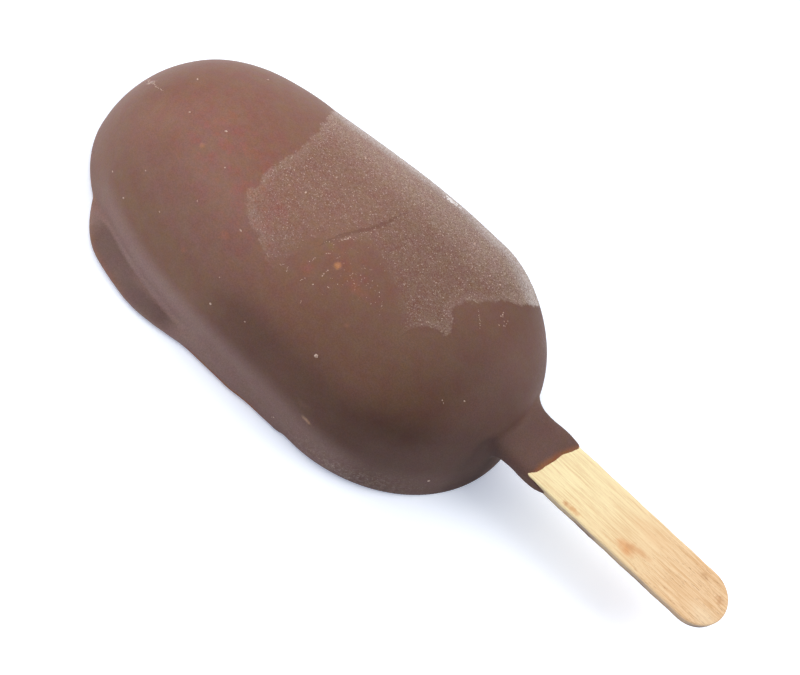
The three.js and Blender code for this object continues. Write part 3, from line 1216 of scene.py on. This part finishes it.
@dataclass
class CoatTones:
    """Where frost, rubbing, the split, the tones of the coating and its painted shade and painted
    reflection lie, in mm in the frame.
    """

    patch: Line = (
        (-38.1, 14.8), (-37.7, 12.0), (-37.0, 7.4), (-37.0, 3.0), (-37.3, -0.3), (-38.3, -3.8),
        (-37.9, -7.4), (-37.7, -8.9), (-38.6, -10.5), (-37.2, -12.5), (-35.5, -13.6), (-33.0, -14.4),
        (-31.3, -15.1), (-29.7, -16.0), (-26.6, -16.7), (-25.4, -15.6), (-24.6, -12.6), (-24.0, -9.6),
        (-21.4, -6.4), (-17.5, -4.6), (-13.5, -5.4), (-10.0, -7.2), (-8.0, -9.4), (-5.7, -10.6),
        (-4.2, -11.3), (-3.4, -9.2), (-2.2, -7.4), (-0.4, -6.3), (1.0, -6.3), (1.6, -5.6), (0.1, -2.6),
        (-0.9, -0.9), (0.3, 1.6), (2.9, 4.8), (5.2, 8.5), (7.1, 10.3), (9.1, 15.4), (10.5, 20.0),
        (10.0, 34.0), (-38.0, 34.0),
    )
    rubbed: Line = ((-25.4, -15.6), (-24.0, -9.6), (-17.5, -4.6), (-10.0, -7.2), (-6.5, -10.0))
    split: Line = (
        (-24.2, -10.4), (-23.4, -8.8), (-21.8, -4.7), (-19.6, -0.7), (-18.7, 1.2), (-18.0, 4.0),
        (-17.3, 6.5), (-16.0, 9.3),
    )
    split_width: float = 0.36
    rubbed_reach: float = 3.0
    lip_out: float = 1.15
    worn: Hill = Hill(0.8, -17, -8.5, 9.5, 6.5)
    warm_hills: tuple[Hill, ...] = (
        Hill(0.85, -43, -8, 10, 8), Hill(0.55, -33, -14, 7, 5), Hill(0.7, -16.5, -9.5, 7, 4.5),
        Hill(0.4, -53, -1, 8, 10),
    )
    olive_hills: tuple[Hill, ...] = (Hill(0.3, -22, -12, 7, 4), Hill(0.4, -4, -15, 14, 7))
    neck_hills: tuple[Hill, ...] = (Hill(0.25, 20, -10, 4, 5), Hill(0.4, 18.6, -8.6, 2.2, 2.2))
    # painted shade along the crown and down the near flank, growing towards the neck
    crown_deep: Line = (
        (-24, 0), (-21, 0.04), (-15, 0.18), (-9, 0.26), (-3, 0.34), (3, 0.46), (9, 0.58), (15, 0.63),
        (22, 0.66),
    )
    flank_deep: Line = (
        (-34, 0), (-30, 0.22), (-27, 0.4), (-21, 0.53), (-15, 0.5), (-9, 0.61), (-3, 0.68), (3, 0.78),
        (9, 0.83), (22, 0.84),
    )
    # painted reflection of the pale floor in a band low on the near wall, over a light bloom
    wall_haze_and_reflection: Line = (
        (-61, 0.1), (-57, 0.32), (-51, 0.7), (-46, 0.84), (-39, 0.84), (-33, 0.66), (-27, 0.56),
        (-21, 0.54), (-15, 0.45), (0, 0.4), (6, 0.1),
    )
    near_bloom: Zone = Zone(1, (("y", -12, -18), ("x", -14, -5), ("z", 0.2, 1.4), ("z", 9.5, 4)))
    far_bloom: Zone = Zone(1, (("x", 9, 16), ("y", 1, 7), ("z", 24, 18), ("z", 6, 11)))
    # painted shade: the lower near wall towards the tip is darkened towards a greener brown
    olive_wall: Zone = Zone(0.3, (("z", 17, 13), ("y", -10, -16), ("x", -24, -32)))
    olive_neck: Zone = Zone(0.15, (("x", -4, 6), ("x", 12, 6)))
    lit_crown: Zone = Zone(0.27, (("y", -6, 3), ("x", -12, 2), ("x", 22, 14)))
    tip_haze_and_reflection: Zone = Zone(0.13, (("z", 14.5, 18), ("x", -22, -34), ("y", -9, -14)))
    neck_haze_and_reflection: tuple[Zone, ...] = (
        Zone(0.13, (("x", 7, 14),)), Zone(0.1, (("z", 17, 12), ("x", -2, 6), ("x", 14, 8))),
    )
    thin_sliver: Zone = Zone(1, (("z", 1.35, 0.9), ("x", -31, -27), ("x", -10, -16)))
    thin_foot: Zone = Zone(0.5, (("z", 2.6, 1.0), ("x", -40, -46)))
    mesh: Mesh = field(init=False)
    points: Points = field(init=False)
    up: Points = field(init=False)
    places: dict[str, Points] = field(init=False)
    on_foot: Points = field(init=False)

    def mark(self, mesh: Mesh, bar: CoatedBar, beyond_wall: Points) -> None:
        """Keeps each of them on the mesh's vertices.

        Args:
            mesh: the bar's mesh, in mm in the frame.
            bar: the bar that the mesh is of.
            beyond_wall: how far each vertex stands outside the bar's own wall, in mm.
        """
        self.mesh, self.points, self.up = mesh, mesh_points(mesh), mesh_normals(mesh)[:, 2]
        x = self.points[:, 0]
        self.places = dict(zip("xyz", self.points.T))
        outside = beyond_wall - 0.4 * smooth(x, -51, -55)
        self.on_foot = smooth(outside, 0.18, 0.6) * smooth(x, -31, -36)
        self._mark_frost()
        self._mark_split()
        self._mark_warmth()
        self._mark_deep()
        self._mark_haze_and_reflection()
        self._mark_thin(bar)

    def _mark_frost(self) -> None:
        """Marks the frosted patch, its soft side, its whiter far shoulder, where thicker frost carries a
        painted sheen, and the bloom low on the wall.
        """
        x, y, z = self.points.T
        seen = self.points[:, :2]
        inside = distance_inside(seen, np.array(self.patch))
        soft = np.exp(-((line_distance(seen, np.array(self.rubbed))[0] / self.rubbed_reach) ** 2))
        amount = smooth(z, 5, 13) * (1 - soft * smooth(inside, 3.5, 0.2)) * (1 - self.worn.over(seen))
        # rim: the sloping far shoulder, whitened as a painted sheen over thicker frost
        inward = 0.035 * smooth(x, -12, -4)
        rim = smooth(self.up - inward, 0.88, 0.68) * smooth(self.up, 0.1, 0.45) * smooth(y, 8, 14)
        rim = rim * smooth(x, -42, -31)
        shoulder = 0.18 * smooth(y, 5, 15) + (0.56 - 0.1 * smooth(x, -16, -8)) * rim
        low = 0.3 * np.exp(-((x - 3.5) / 7) ** 2) * smooth(y, -14, -19) * smooth(z, 6.5, 3)
        grains = smooth(inside, 0.1, 0.8) * amount * (0.5 + 1.4 * rim) * (self.up > -0.2)
        near_bloom, far_bloom = self.near_bloom.over(self.places), self.far_bloom.over(self.places)
        store(self.mesh, frost_inside=inside, frost_amount=amount, frost_crisp=1 - soft)
        store(self.mesh, shoulder=shoulder + low, crystals=grains)
        store(self.mesh, bloom=0.7 * np.maximum(near_bloom, 0.8 * far_bloom))

    def _mark_split(self) -> None:
        """Marks the split and how wide it is open."""
        beside, along = line_distance(self.points[:, :2], np.array(self.split))
        end = along.max()
        width = self.split_width * smooth(along, 0, 3) * smooth(along, end, end - 8) + 0.02
        store(self.mesh, split_beside=beside, split_width=width * (self.points[:, 2] > 20))

    def _mark_warmth(self) -> None:
        """Marks the warmer and the greener-brown parts of the coating, with painted shade as a greener
        brown on the lower near wall towards the tip.
        """
        warm = sum(hill.over(self.points) for hill in self.warm_hills)
        olive = self.olive_wall.over(self.places)
        olive = olive + sum(hill.over(self.points) for hill in self.olive_hills)
        olive += self.olive_neck.over(self.places)
        store(self.mesh, warm=np.clip(warm, 0, 1), olive=np.clip(olive, 0, 0.7))

    def _mark_deep(self) -> None:
        """Marks the painted shade: darker coating along the crown towards the neck, down the near flank, on
        the foot by the wall and under the neck, with painted light lifting the crease at the neck.
        """
        x, y, z = self.points.T
        crown = course(self.crown_deep, x) * (1 - self.lit_crown.over(self.places))
        down = smooth(z - 1.5 * smooth(x, -6, 3), 20.5, 14.5) * smooth(y, -4, -12)
        past_tip = smooth(x, -46, -42)
        # painted shade on the foot beside the wall
        foot = (0.6 + 0.2 * past_tip) * self.on_foot * smooth(z, 0.8, 2.4) * smooth(x, -57.0, -51.5)
        foot = foot * (1 - 0.8 * past_tip * smooth(z, 2.9, 3.6))
        # painted shade under the neck and at its near corner
        under_neck, neck_corner = (hill.over(self.points) for hill in self.neck_hills)
        neck = under_neck * smooth(z, 16, 10) + neck_corner * smooth(z, 17, 15)
        # painted light: the crease between the bar and the neck is lifted out of its shade
        fold = 0.2 * np.exp(-(((x - 19.2) / 1.5) ** 2))
        fold = fold * smooth(y, -4.5, 2) * smooth(y, 9, 6) * smooth(z, 12, 15)
        deep = crown + (course(self.flank_deep, x) - crown) * down + foot + neck - fold
        store(self.mesh, deep=np.clip(deep, 0, 1))

    def _mark_haze_and_reflection(self) -> None:
        """Marks the paler, hazier coating, mostly low on the near wall, where a painted reflection of the
        pale floor lies over a light bloom.
        """
        x, y, z = self.points.T
        steep = np.maximum(smooth(self.up, 0.6, 0.35), smooth(z, 5.2, 4.2))
        hazy = course(self.wall_haze_and_reflection, x) * smooth(z, 10.6, 5.8) * smooth(y, -10, -16) * steep
        hazy = hazy * (1 - 0.5 * self.on_foot) + 0.4 * self.on_foot * smooth(x, -52.5, -56.5)
        by_neck = sum(zone.over(self.places) for zone in self.neck_haze_and_reflection)
        store(self.mesh, hazy=np.clip(hazy + self.tip_haze_and_reflection.over(self.places) + by_neck, 0, 1))

    def _mark_thin(self, bar: CoatedBar) -> None:
        """Marks where the coating runs out thin on the stick and along the ground.

        Args:
            bar: the bar that the mesh is of.
        """
        x, y, z = self.points.T
        place = bar.placement()
        out = x - place.x - bar.neck_x
        lip = course(bar.lip_across, (y - place.y) / bar.stick_half[0])
        lip_thin = smooth(out, lip - self.lip_out, lip - 0.1) * (out > 2) * (z > bar.stick_height + 0.8)
        sliver = self.thin_sliver.over(self.places) * (y < -20)
        foot_rim = self.thin_foot.over(self.places) * (y < -10)
        store(self.mesh, thin=np.clip(np.maximum(lip_thin, np.maximum(sliver, foot_rim)), 0, 1))


@dataclass
class Crystals:
    """Frost grains strewn over the frosted patch."""

    density: float = 3.4e6
    smallest: float = 0.03
    largest: float = 0.085
    seed: int = 11

    def build(self, bar: Object, material: Material) -> Object:
        """Strews the grains and makes them a plain mesh.

        Args:
            bar: the piece that carries them, with its "crystals" attribute.
            material: their finish.

        Returns:
            The grains.
        """
        sizes = {"Smallest": self.smallest * MM, "Largest": self.largest * MM}
        values = {"Density": self.density, **sizes, "Seed": self.seed, "Material": material}
        return grown("frost_crystals", bar.data.copy(), self._tree(), values)

    @staticmethod
    def _tree() -> NodeTree:
        """Builds the tree that strews grains where the attribute says.

        Returns:
            The tree.
        """
        desk, given, result = grain_group("strewn_grains", ["Density", "Smallest", "Largest"])
        inputs = {"Mesh": given["Geometry"], "Seed": given["Seed"]}
        inputs["Density"] = desk.times(desk.kept("crystals"), given["Density"])
        strewn = desk.add("GeometryNodeDistributePointsOnFaces", inputs, distribute_method="RANDOM").outputs
        size = random_between(desk, given["Smallest"], given["Largest"], given["Seed"])
        grains = instanced(desk, strewn["Points"], strewn["Rotation"], size, flatness=0.55)
        return finish_tree(desk, grains, given["Material"], result)


@dataclass(frozen=True)
class SpeckRow:
    """A row of pale specks on the bar, from one place to another seen from above, in mm."""

    start: tuple[float, float]
    end: tuple[float, float]
    count: int
    size: float
    spread: float = 0.1


@dataclass
class Specks:
    """Chips along the split, in the rubbed place and on the scratches, and single pinholes."""

    rows: tuple[SpeckRow, ...] = tuple(SpeckRow(*row) for row in (
        ((-23.1, -8.6), (-20.6, -3.6), 26, 0.075, 0.35), ((-20.4, -3.2), (-18.3, 1.6), 22, 0.07, 0.22),
        ((-18.3, 2.4), (-16.2, 8.9), 14, 0.06, 0.2), ((-21.7, -5.9), (-20.9, -4.6), 5, 0.13, 0.12),
        ((-23.2, -12.7), (-22.8, -11.2), 4, 0.1, 0.06), ((-20.1, -11.4), (-20.1, -12.9), 4, 0.13, 0.05),
        ((-22.2, -9.8), (-21.6, -9.3), 5, 0.1, 0.04), ((-22.2, -15.6), (-21.9, -14.6), 4, 0.11, 0.07),
        ((-20.4, -14.9), (-20.2, -14.7), 2, 0.13, 0.04), ((-26.4, -15.7), (-25.8, -15.1), 6, 0.065, 0.06),
        ((-25.2, -15.0), (-24.7, -15.9), 6, 0.065, 0.06), ((-20.3, -9.1), (-20.1, -8.5), 3, 0.075, 0.05),
        ((-18.4, -13.6), (-17.6, -13.4), 4, 0.07, 0.04), ((-17.5, -12.3), (-16.4, -11.7), 2, 0.11, 0.03),
        ((-19.9, -17.2), (-19.7, -17.8), 3, 0.11, 0.05), ((-16.9, -9.8), (-14.8, -11.0), 5, 0.08, 0.3),
        ((-16.4, -7.0), (-14.9, -6.8), 5, 0.08, 0.2), ((-15.6, -8.6), (-12.8, -9.2), 7, 0.07, 0.5),
        ((-13.0, -8.2), (-10.8, -9.0), 5, 0.075, 0.4), ((-10.0, -9.6), (-8.9, -11.5), 6, 0.06),
        ((-19.5, -7.0), (-17.2, -12.0), 16, 0.055, 1.8), ((-16.0, -8.0), (-12.5, -10.5), 18, 0.055, 1.5),
        ((-64.2, 1.0), (-62.8, -0.8), 30, 0.14, 0.22), ((-62.9, -0.6), (-61.7, -1.9), 18, 0.1, 0.08),
        ((-62.0, -1.7), (-60.1, -2.8), 18, 0.07, 0.05), ((2.3, 2.1), (4.6, -0.7), 16, 0.07, 0.12),
        ((6.2, 4.9), (7.0, 4.3), 7, 0.14, 0.4), ((6.9, 3.7), (7.5, 3.3), 4, 0.12, 0.3),
        ((7.6, -13.4), (8.4, -13.6), 4, 0.1, 0.05), ((-35.0, -15.5), (-34.5, -15.6), 3, 0.13, 0.05),
        ((-11.4, -24.9), (-10.6, -24.9), 4, 0.09, 0.05),
    ))
    singles: tuple[tuple[float, float, float, float], ...] = (
        (-57.4, 2.0, 21.9, 0.17), (-49.0, 10.3, 23.4, 0.2), (-54.2, -5.1, 23.3, 0.18),
        (-47.6, -4.7, 25.5, 0.19), (-43.6, -9.8, 25.0, 0.19), (-57.7, -14.9, 10.1, 0.14),
        (-53.2, -15.2, 17.1, 0.14), (-53.2, -17.7, 10.7, 0.17), (-43.3, -15.9, 21.5, 0.14),
        (-46.9, -18.7, 16.1, 0.14), (-32.4, -20.8, 16.8, 0.15), (-30.8, -22.6, 12.1, 0.27),
        (-24.6, -22.3, 14.2, 0.18), (-12.2, -20.9, 18.5, 0.42), (10.4, -10.6, 22.2, 0.14),
        (14.9, -16.3, 6.7, 0.26), (-34.2, 11.5, 24.8, 0.2), (-28.4, 10.6, 25.6, 0.26),
        (-27.2, 10.4, 25.6, 0.16), (-5.6, 12.8, 24.6, 0.25), (2.1, 9.4, 25.0, 0.24),
        (-0.1, 9.3, 25.3, 0.16), (-7.6, 8.9, 26.0, 0.16), (-34.0, -4.8, 26.2, 0.18),
        (-31.3, -3.8, 26.3, 0.18), (-36.0, 11.4, 24.4, 0.16), (-12.6, 17.8, 21.8, 0.24),
        (-10.4, 16.0, 23.2, 0.2),
    )
    drop_height: float = 60
    seed: int = 23

    def build(self, bar: Object, material: Material) -> Object:
        """Sets every speck on the bar's skin and makes them a plain mesh.

        Args:
            bar: the piece that carries them.
            material: their finish.

        Returns:
            The specks.
        """
        random = np.random.default_rng(self.seed)
        skin = skin_of(bar)
        places, sizes = [], []
        for row in self.rows:
            start, end = np.array(row.start), np.array(row.end)
            for share in (np.arange(row.count) + random.uniform(0.1, 0.9, row.count)) / row.count:
                spot = start + (end - start) * share + random.normal(0, row.spread, 2)
                places.append(skin.ray_cast(Vector((*spot, self.drop_height)) * MM, Vector((0, 0, -1)))[:2])
                sizes.append(row.size * random.uniform(0.6, 1.2))
        for *spot, size in self.singles:
            places.append(skin.find_nearest(Vector(spot) * MM)[:2])
            sizes.append(size)
        return seated_grains("pale_specks", places, sizes, {"Seed": self.seed, "Material": material})


@dataclass
class IceClump:
    """A crust of white ice crumbs on the far shoulder, in mm in the frame."""

    middle: Place = (-12.9, 18.6, 21.3)
    spread: Place = (0.8, 0.8, 0.5)
    count: int = 46
    smallest: float = 0.1
    largest: float = 0.24
    seed: int = 31

    def build(self, bar: Object, material: Material) -> Object:
        """Sets the crumbs on the bar's skin and makes them a plain mesh.

        Args:
            bar: the piece that carries them.
            material: their finish.

        Returns:
            The crumbs.
        """
        random = np.random.default_rng(self.seed)
        skin = skin_of(bar)
        spots = np.array(self.middle) + random.normal(0, 1, (self.count, 3)) * np.array(self.spread)
        places = [skin.find_nearest(Vector(spot.tolist()) * MM)[:2] for spot in spots]
        sizes = random.uniform(self.smallest, self.largest, self.count)
        return seated_grains("ice_crumbs", places, sizes, {"Seed": self.seed, "Material": material})


def skin_of(thing: Object) -> BVHTree:
    """An object's surface, to set grains on."""
    return BVHTree.FromObject(thing, bpy.context.evaluated_depsgraph_get())


def seated_grains(name: str, places: Sequence[Any], sizes: Sequence[float], values: dict) -> Object:
    """Sets a flattened grain on each place and makes them a plain mesh.

    Args:
        name: the new piece's name.
        places: where each grain sits, in metres, and its upright.
        sizes: the radius of each, in mm.
        values: the tree's inputs by name.

    Returns:
        The grains.
    """
    mesh = bpy.data.meshes.new(name + "_seats")
    mesh.from_pydata([tuple(spot) for spot, _ in places], [], [])
    store(mesh, size=np.array(sizes) * MM)
    lie = mesh.attributes.new("lie", "FLOAT_VECTOR", "POINT")
    lie.data.foreach_set("vector", np.array([tuple(normal) for _, normal in places]).ravel())
    return grown(name, mesh, seated_tree(), values)


def seated_tree() -> NodeTree:
    """Builds the tree that sets a flattened grain on each seat.

    Returns:
        The tree.
    """
    desk, given, result = grain_group("seated_specks", [])
    seats = desk.add("GeometryNodeMeshToPoints", {"Mesh": given["Geometry"]}).outputs[0]
    lie = desk.kept("lie", "FLOAT_VECTOR")
    upright = desk.add("FunctionNodeAlignRotationToVector", {"Vector": lie}, axis="Z").outputs[0]
    grains = instanced(desk, seats, upright, desk.kept("size"), flatness=0.4)
    return finish_tree(desk, grains, given["Material"], result)


def grain_group(name: str, numbers: list[str]) -> tuple[NodeDesk, Any, Node]:
    """Starts a tree that grows grains.

    Args:
        name: the tree's name.
        numbers: the names of its own inputs.

    Returns:
        A desk on it, what its inputs give, and its output node.
    """
    inputs = {Kind.GEOMETRY: ["Geometry"], Kind.NUMBER: numbers}
    inputs.update({Kind.COUNT: ["Seed"], Kind.MATERIAL: ["Material"]})
    return new_group(name, Family.GEOMETRY, inputs, {Kind.GEOMETRY: ["Geometry"]})


def random_between(desk: NodeDesk, low: Any, high: Any, seed: Any = 0) -> NodeSocket:
    """A random number for each point."""
    inputs = {2: low, 3: high, "Seed": seed}
    return desk.add("FunctionNodeRandomValue", inputs, data_type="FLOAT").outputs[1]


def instanced(desk: NodeDesk, points: Any, rotation: Any, size: Any, flatness: float) -> NodeSocket:
    """Sets a small grain on each point, turned at random about its upright.

    Args:
        desk: the tree's desk.
        points: where they stand.
        rotation: how each stands.
        size: the radius of each.
        flatness: its height against its radius.

    Returns:
        The grains as real geometry.
    """
    grain = desk.add("GeometryNodeMeshUVSphere", {"Segments": 5, "Rings": 3, "Radius": 1.0})
    spin = desk.add("ShaderNodeCombineXYZ", {"Z": random_between(desk, 0.0, 2 * math.pi)}).outputs[0]
    turned = desk.add("FunctionNodeRotateRotation", {0: rotation, 1: spin}, rotation_space="LOCAL")
    longer = desk.times(size, random_between(desk, 0.7, 1.9, seed=5))
    sides = {"X": longer, "Y": size, "Z": desk.times(size, flatness)}
    inputs = {"Points": points, "Instance": grain.outputs["Mesh"], "Rotation": turned.outputs[0]}
    inputs["Scale"] = desk.add("ShaderNodeCombineXYZ", sides).outputs[0]
    set_out = desk.add("GeometryNodeInstanceOnPoints", inputs).outputs[0]
    return desk.add("GeometryNodeRealizeInstances", {"Geometry": set_out}).outputs[0]


def finish_tree(desk: NodeDesk, geometry: Any, material: Any, result: Node) -> NodeTree:
    """Gives the geometry its material and hands it out.

    Args:
        desk: the tree's desk.
        geometry: the grains.
        material: their finish.
        result: the tree's output node.

    Returns:
        The finished tree.
    """
    dressed = desk.add("GeometryNodeSetMaterial", {"Geometry": geometry, "Material": material})
    desk.wire(result, {0: dressed.outputs[0]})
    return desk.tree


def grown(name: str, mesh: Mesh, tree: NodeTree, values: dict[str, Any]) -> Object:
    """Runs a Geometry Nodes tree on a mesh and keeps the result as a plain mesh object.

    Args:
        name: the new piece's name.
        mesh: what the tree works on.
        tree: the tree.
        values: its inputs by name.

    Returns:
        The new piece.
    """
    carrier = in_scene(bpy.data.objects.new(name, mesh))
    modifier = carrier.modifiers.new("grow", "NODES")
    modifier.node_group = tree
    for item in tree.interface.items_tree:
        if item.item_type == "SOCKET" and item.in_out == "INPUT" and item.name in values:
            modifier[item.identifier] = values[item.name]
    carrier.update_tag()
    result = settled(carrier)
    carrier.modifiers.remove(modifier)
    carrier.data = result
    result.name = name
    log.info("%s: %d faces", name, len(result.polygons))
    return carrier


@dataclass
class Stick:
    """The flat wooden stick. Sizes are in mm."""

    length: float = 113
    width: float = 11
    thickness: float = 2
    edge: float = 0.28
    edge_drop: float = 0.35
    flare: float = 0.2
    face_rings: Place = (0.96, 0.6, 0.25)
    showing: float = 44.3
    height: float = 12.4
    turn: float = math.radians(-1.1)

    def pivot(self, bar: CoatedBar) -> Place:
        """The place on its middle line at the bar's neck end, in the frame."""
        place = bar.placement()
        return place.x + bar.neck_x, place.y, self.height

    def build(self, bar: CoatedBar) -> Object:
        """Builds the stick in the frame.

        Args:
            bar: the bar that holds it.

        Returns:
            The stick.
        """
        half, thick = self.width / 2, self.thickness / 2
        middle, outward = self._outline()
        bend = np.radians(np.linspace(0, 90, 7))
        insets = [half * share for share in self.face_rings]
        insets = np.array([*insets, *self.edge * (1 - np.sin(bend))])
        levels = [thick] * len(self.face_rings)
        levels = np.array([*levels, *thick - self.edge_drop * (1 - np.cos(bend))])
        wobble = 0.035 * np.sin(0.9 * middle + 3 * outward[:, 1])
        wobble = wobble + 0.02 * np.sin(2.7 * middle + 2 * outward[:, 0])
        rings = []
        for inset, level in zip([*insets, *insets[::-1]], [*levels, *-levels[::-1]]):
            on_edge = inset <= self.edge
            flare = self.flare * (level / thick) * on_edge
            away = outward * (half - inset + flare + (wobble * on_edge)[:, None])
            rings.append(np.column_stack([middle + away[:, 0], away[:, 1], np.full(len(away), level)]))
        points, faces = rings_to_skin(np.array(rings)[::-1])
        turn = np.array(Matrix.Rotation(self.turn, 3, "Z"))
        # side: how far down the stick's side each vertex lies, for the painted shade there
        side = np.where(np.abs(points[:, 2]) < thick - 0.01, smooth(points[:, 2], 0.95, -0.85), 0)
        points = points @ turn.T + np.array(self.pivot(bar))
        piece = bare_object("wooden_stick", points * MM, faces)
        store(piece.data, side=side)
        piece.data.shade_smooth()
        log.info("wooden stick: %d faces", len(faces))
        return piece

    def _outline(self) -> tuple[Points, Points]:
        """Walks round the stick, seen from above.

        Returns:
            The x of the middle that each point is walked about, and its outward direction.
        """
        half = self.width / 2
        free_x, hidden_x = self.showing - half, self.showing - self.length + half
        curve = np.linspace(-RIGHT_ANGLE, RIGHT_ANGLE, 56)
        run = np.linspace(0, 1, 120)[1:-1]
        straight = free_x + (hidden_x - free_x) * run
        along, beside = np.zeros(len(run)), np.ones(len(run))
        walk = np.vstack([
            np.column_stack([np.full(len(curve), free_x), np.cos(curve), np.sin(curve)]),
            np.column_stack([straight, along, beside]),
            np.column_stack([np.full(len(curve), hidden_x), -np.cos(curve), -np.sin(curve)]),
            np.column_stack([straight[::-1], along, -beside]),
        ])
        return walk[:, 0], walk[:, 1:]


@dataclass(frozen=True)
class Lamp:
    """A round soft lamp aimed at the middle of the object, in degrees, mm and watts."""

    name: str
    turn: float
    height: float
    distance: float
    size: float
    power: float
    colour: Colour = (1.0, 1.0, 1.0)

    def hang(self) -> None:
        """Hangs the lamp."""
        light = bpy.data.lights.new(self.name, "AREA")
        light.shape = "DISK"
        light.size = self.size * MM
        light.energy = self.power
        light.color = self.colour
        holder = in_scene(bpy.data.objects.new(self.name, light))
        toward = aimed(self.turn, self.height)
        holder.location = toward * self.distance * MM
        holder.rotation_euler = toward.to_track_quat("Z", "Y").to_euler()
        holder.visible_camera = False


@dataclass(frozen=True)
class Glow:
    """A soft bright part of the room, in degrees."""

    turn: float
    height: float
    strength: float
    tightness: float


def aimed(turn: float, height: float) -> Vector:
    """The direction at an angle about +Z from +X, and at an angle above the floor."""
    turn, height = math.radians(turn), math.radians(height)
    return Vector((math.cos(turn) * math.cos(height), math.sin(turn) * math.cos(height), math.sin(height)))


@dataclass
class Studio:
    """Floor, lights and camera. Lengths are in mm and angles in degrees."""

    camera_place: Place = (8.344, -390.183, 555.385)
    camera_aim: Place = (-4.400, -2.424, 12.0)
    camera_roll: float = 40.361
    sensor: float = 36
    lens: float = 181.56
    clip_start: float = 10
    floor_side: float = 8000
    lamps: tuple[Lamp, ...] = (
        Lamp("key", 24.5, 48.2, 1200, 680, 6.8),
        Lamp("tip_side", 180, 50, 300, 300, 0.43),
    )
    glows: tuple[Glow, ...] = (
        Glow(-90, 65, 1.03, 9),
        Glow(165, 45, 0.54, 5),
        Glow(95, 35, 0.65, 8),
        Glow(-117, 12, 1.3, 12),
        Glow(105, 10, 1.4, 12),
    )
    room: Colour = (0.96, 0.98, 1.0)
    room_strength: float = 0.03

    def build(self, effects: Effects) -> None:
        """Builds everything that stands around the object.

        Args:
            effects: the shared node groups.
        """
        self._floor(FloorFinish().build(effects))
        for lamp in self.lamps:
            lamp.hang()
        self._world()
        self._camera()
        view = bpy.context.scene.view_settings
        view.view_transform = "Standard"
        view.look = "None"

    def _floor(self, material: Material) -> None:
        """Lays the floor.

        Args:
            material: its finish.
        """
        half = self.floor_side / 2 * MM
        corners = np.array([(-half, -half, 0), (half, -half, 0), (half, half, 0), (-half, half, 0)])
        floor = bare_object("floor", corners, [(0, 1, 2, 3)])
        floor.data.materials.append(material)

    def _world(self) -> None:
        """Lights the room, dim all round but for its soft bright parts."""
        world = bpy.data.worlds.new("studio")
        bpy.context.scene.world = world
        world.use_nodes = True
        world.node_tree.nodes.clear()
        desk = NodeDesk(world.node_tree)
        way = desk.add("ShaderNodeTexCoord").outputs["Generated"]
        total: Any = self.room_strength
        for glow in self.glows:
            facing = desk.vector_maths("DOT_PRODUCT", way, aimed(glow.turn, glow.height)).outputs["Value"]
            power = desk.times_plus(facing, glow.tightness, -glow.tightness)
            total = desk.times_plus(desk.maths("EXPONENT", power), glow.strength, total)
        background = desk.add("ShaderNodeBackground", {"Color": shade(self.room), "Strength": total})
        desk.add("ShaderNodeOutputWorld", {"Surface": background.outputs[0]})

    def _camera(self) -> None:
        """Sets the camera."""
        lens = bpy.data.cameras.new("camera")
        lens.sensor_width = self.sensor
        lens.lens = self.lens
        lens.clip_start = self.clip_start * MM
        camera = in_scene(bpy.data.objects.new("camera", lens))
        place, aim = Vector(self.camera_place) * MM, Vector(self.camera_aim) * MM
        back = (place - aim).normalized()
        right = Vector((0, 0, 1)).cross(back).normalized()
        up = back.cross(right)
        roll = math.radians(self.camera_roll)
        axes = (
            right * math.cos(roll) + up * math.sin(roll),
            up * math.cos(roll) - right * math.sin(roll),
            back,
            place,
        )
        camera.matrix_world = Matrix([(*row,) for row in zip(*axes)] + [(0, 0, 0, 1)])
        bpy.context.scene.camera = camera


def attach(piece: Object, stands_for: Solid | None = None) -> None:
    """Lets a piece ride on the one body, and hides the solid that it stands for.

    Args:
        piece: the piece.
        stands_for: the solid that it replaces, if any.
    """
    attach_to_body(piece, "root")
    if stands_for:
        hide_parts(stands_for.value)


def main() -> None:
    """Builds the pieces in order."""
    logging.basicConfig(level=logging.INFO)
    effects = Effects()
    Studio().build(effects)

    bar_maker = CoatedBar()
    bar = bar_maker.build()
    bar.data.materials.append(ChocolateFinish().build(effects))
    attach(bar, Solid.BAR)

    stick_maker = Stick()
    stick = stick_maker.build(bar_maker)
    stick.data.materials.append(WoodFinish().build(effects, stick_maker.pivot(bar_maker), stick_maker.turn))
    attach(stick, Solid.STICK)

    crystal = CrystalFinish()
    attach(Crystals().build(bar, crystal.build(effects)))
    chip = CrystalFinish("pale_chips", srgb(198, 174, 160), srgb(160, 126, 112))
    attach(Specks().build(bar, chip.build(effects)))
    white = CrystalFinish("white_ice", srgb(246, 243, 243), srgb(226, 218, 216))
    attach(IceClump().build(bar, white.build(effects)))


if __name__ == "__main__":
    main()
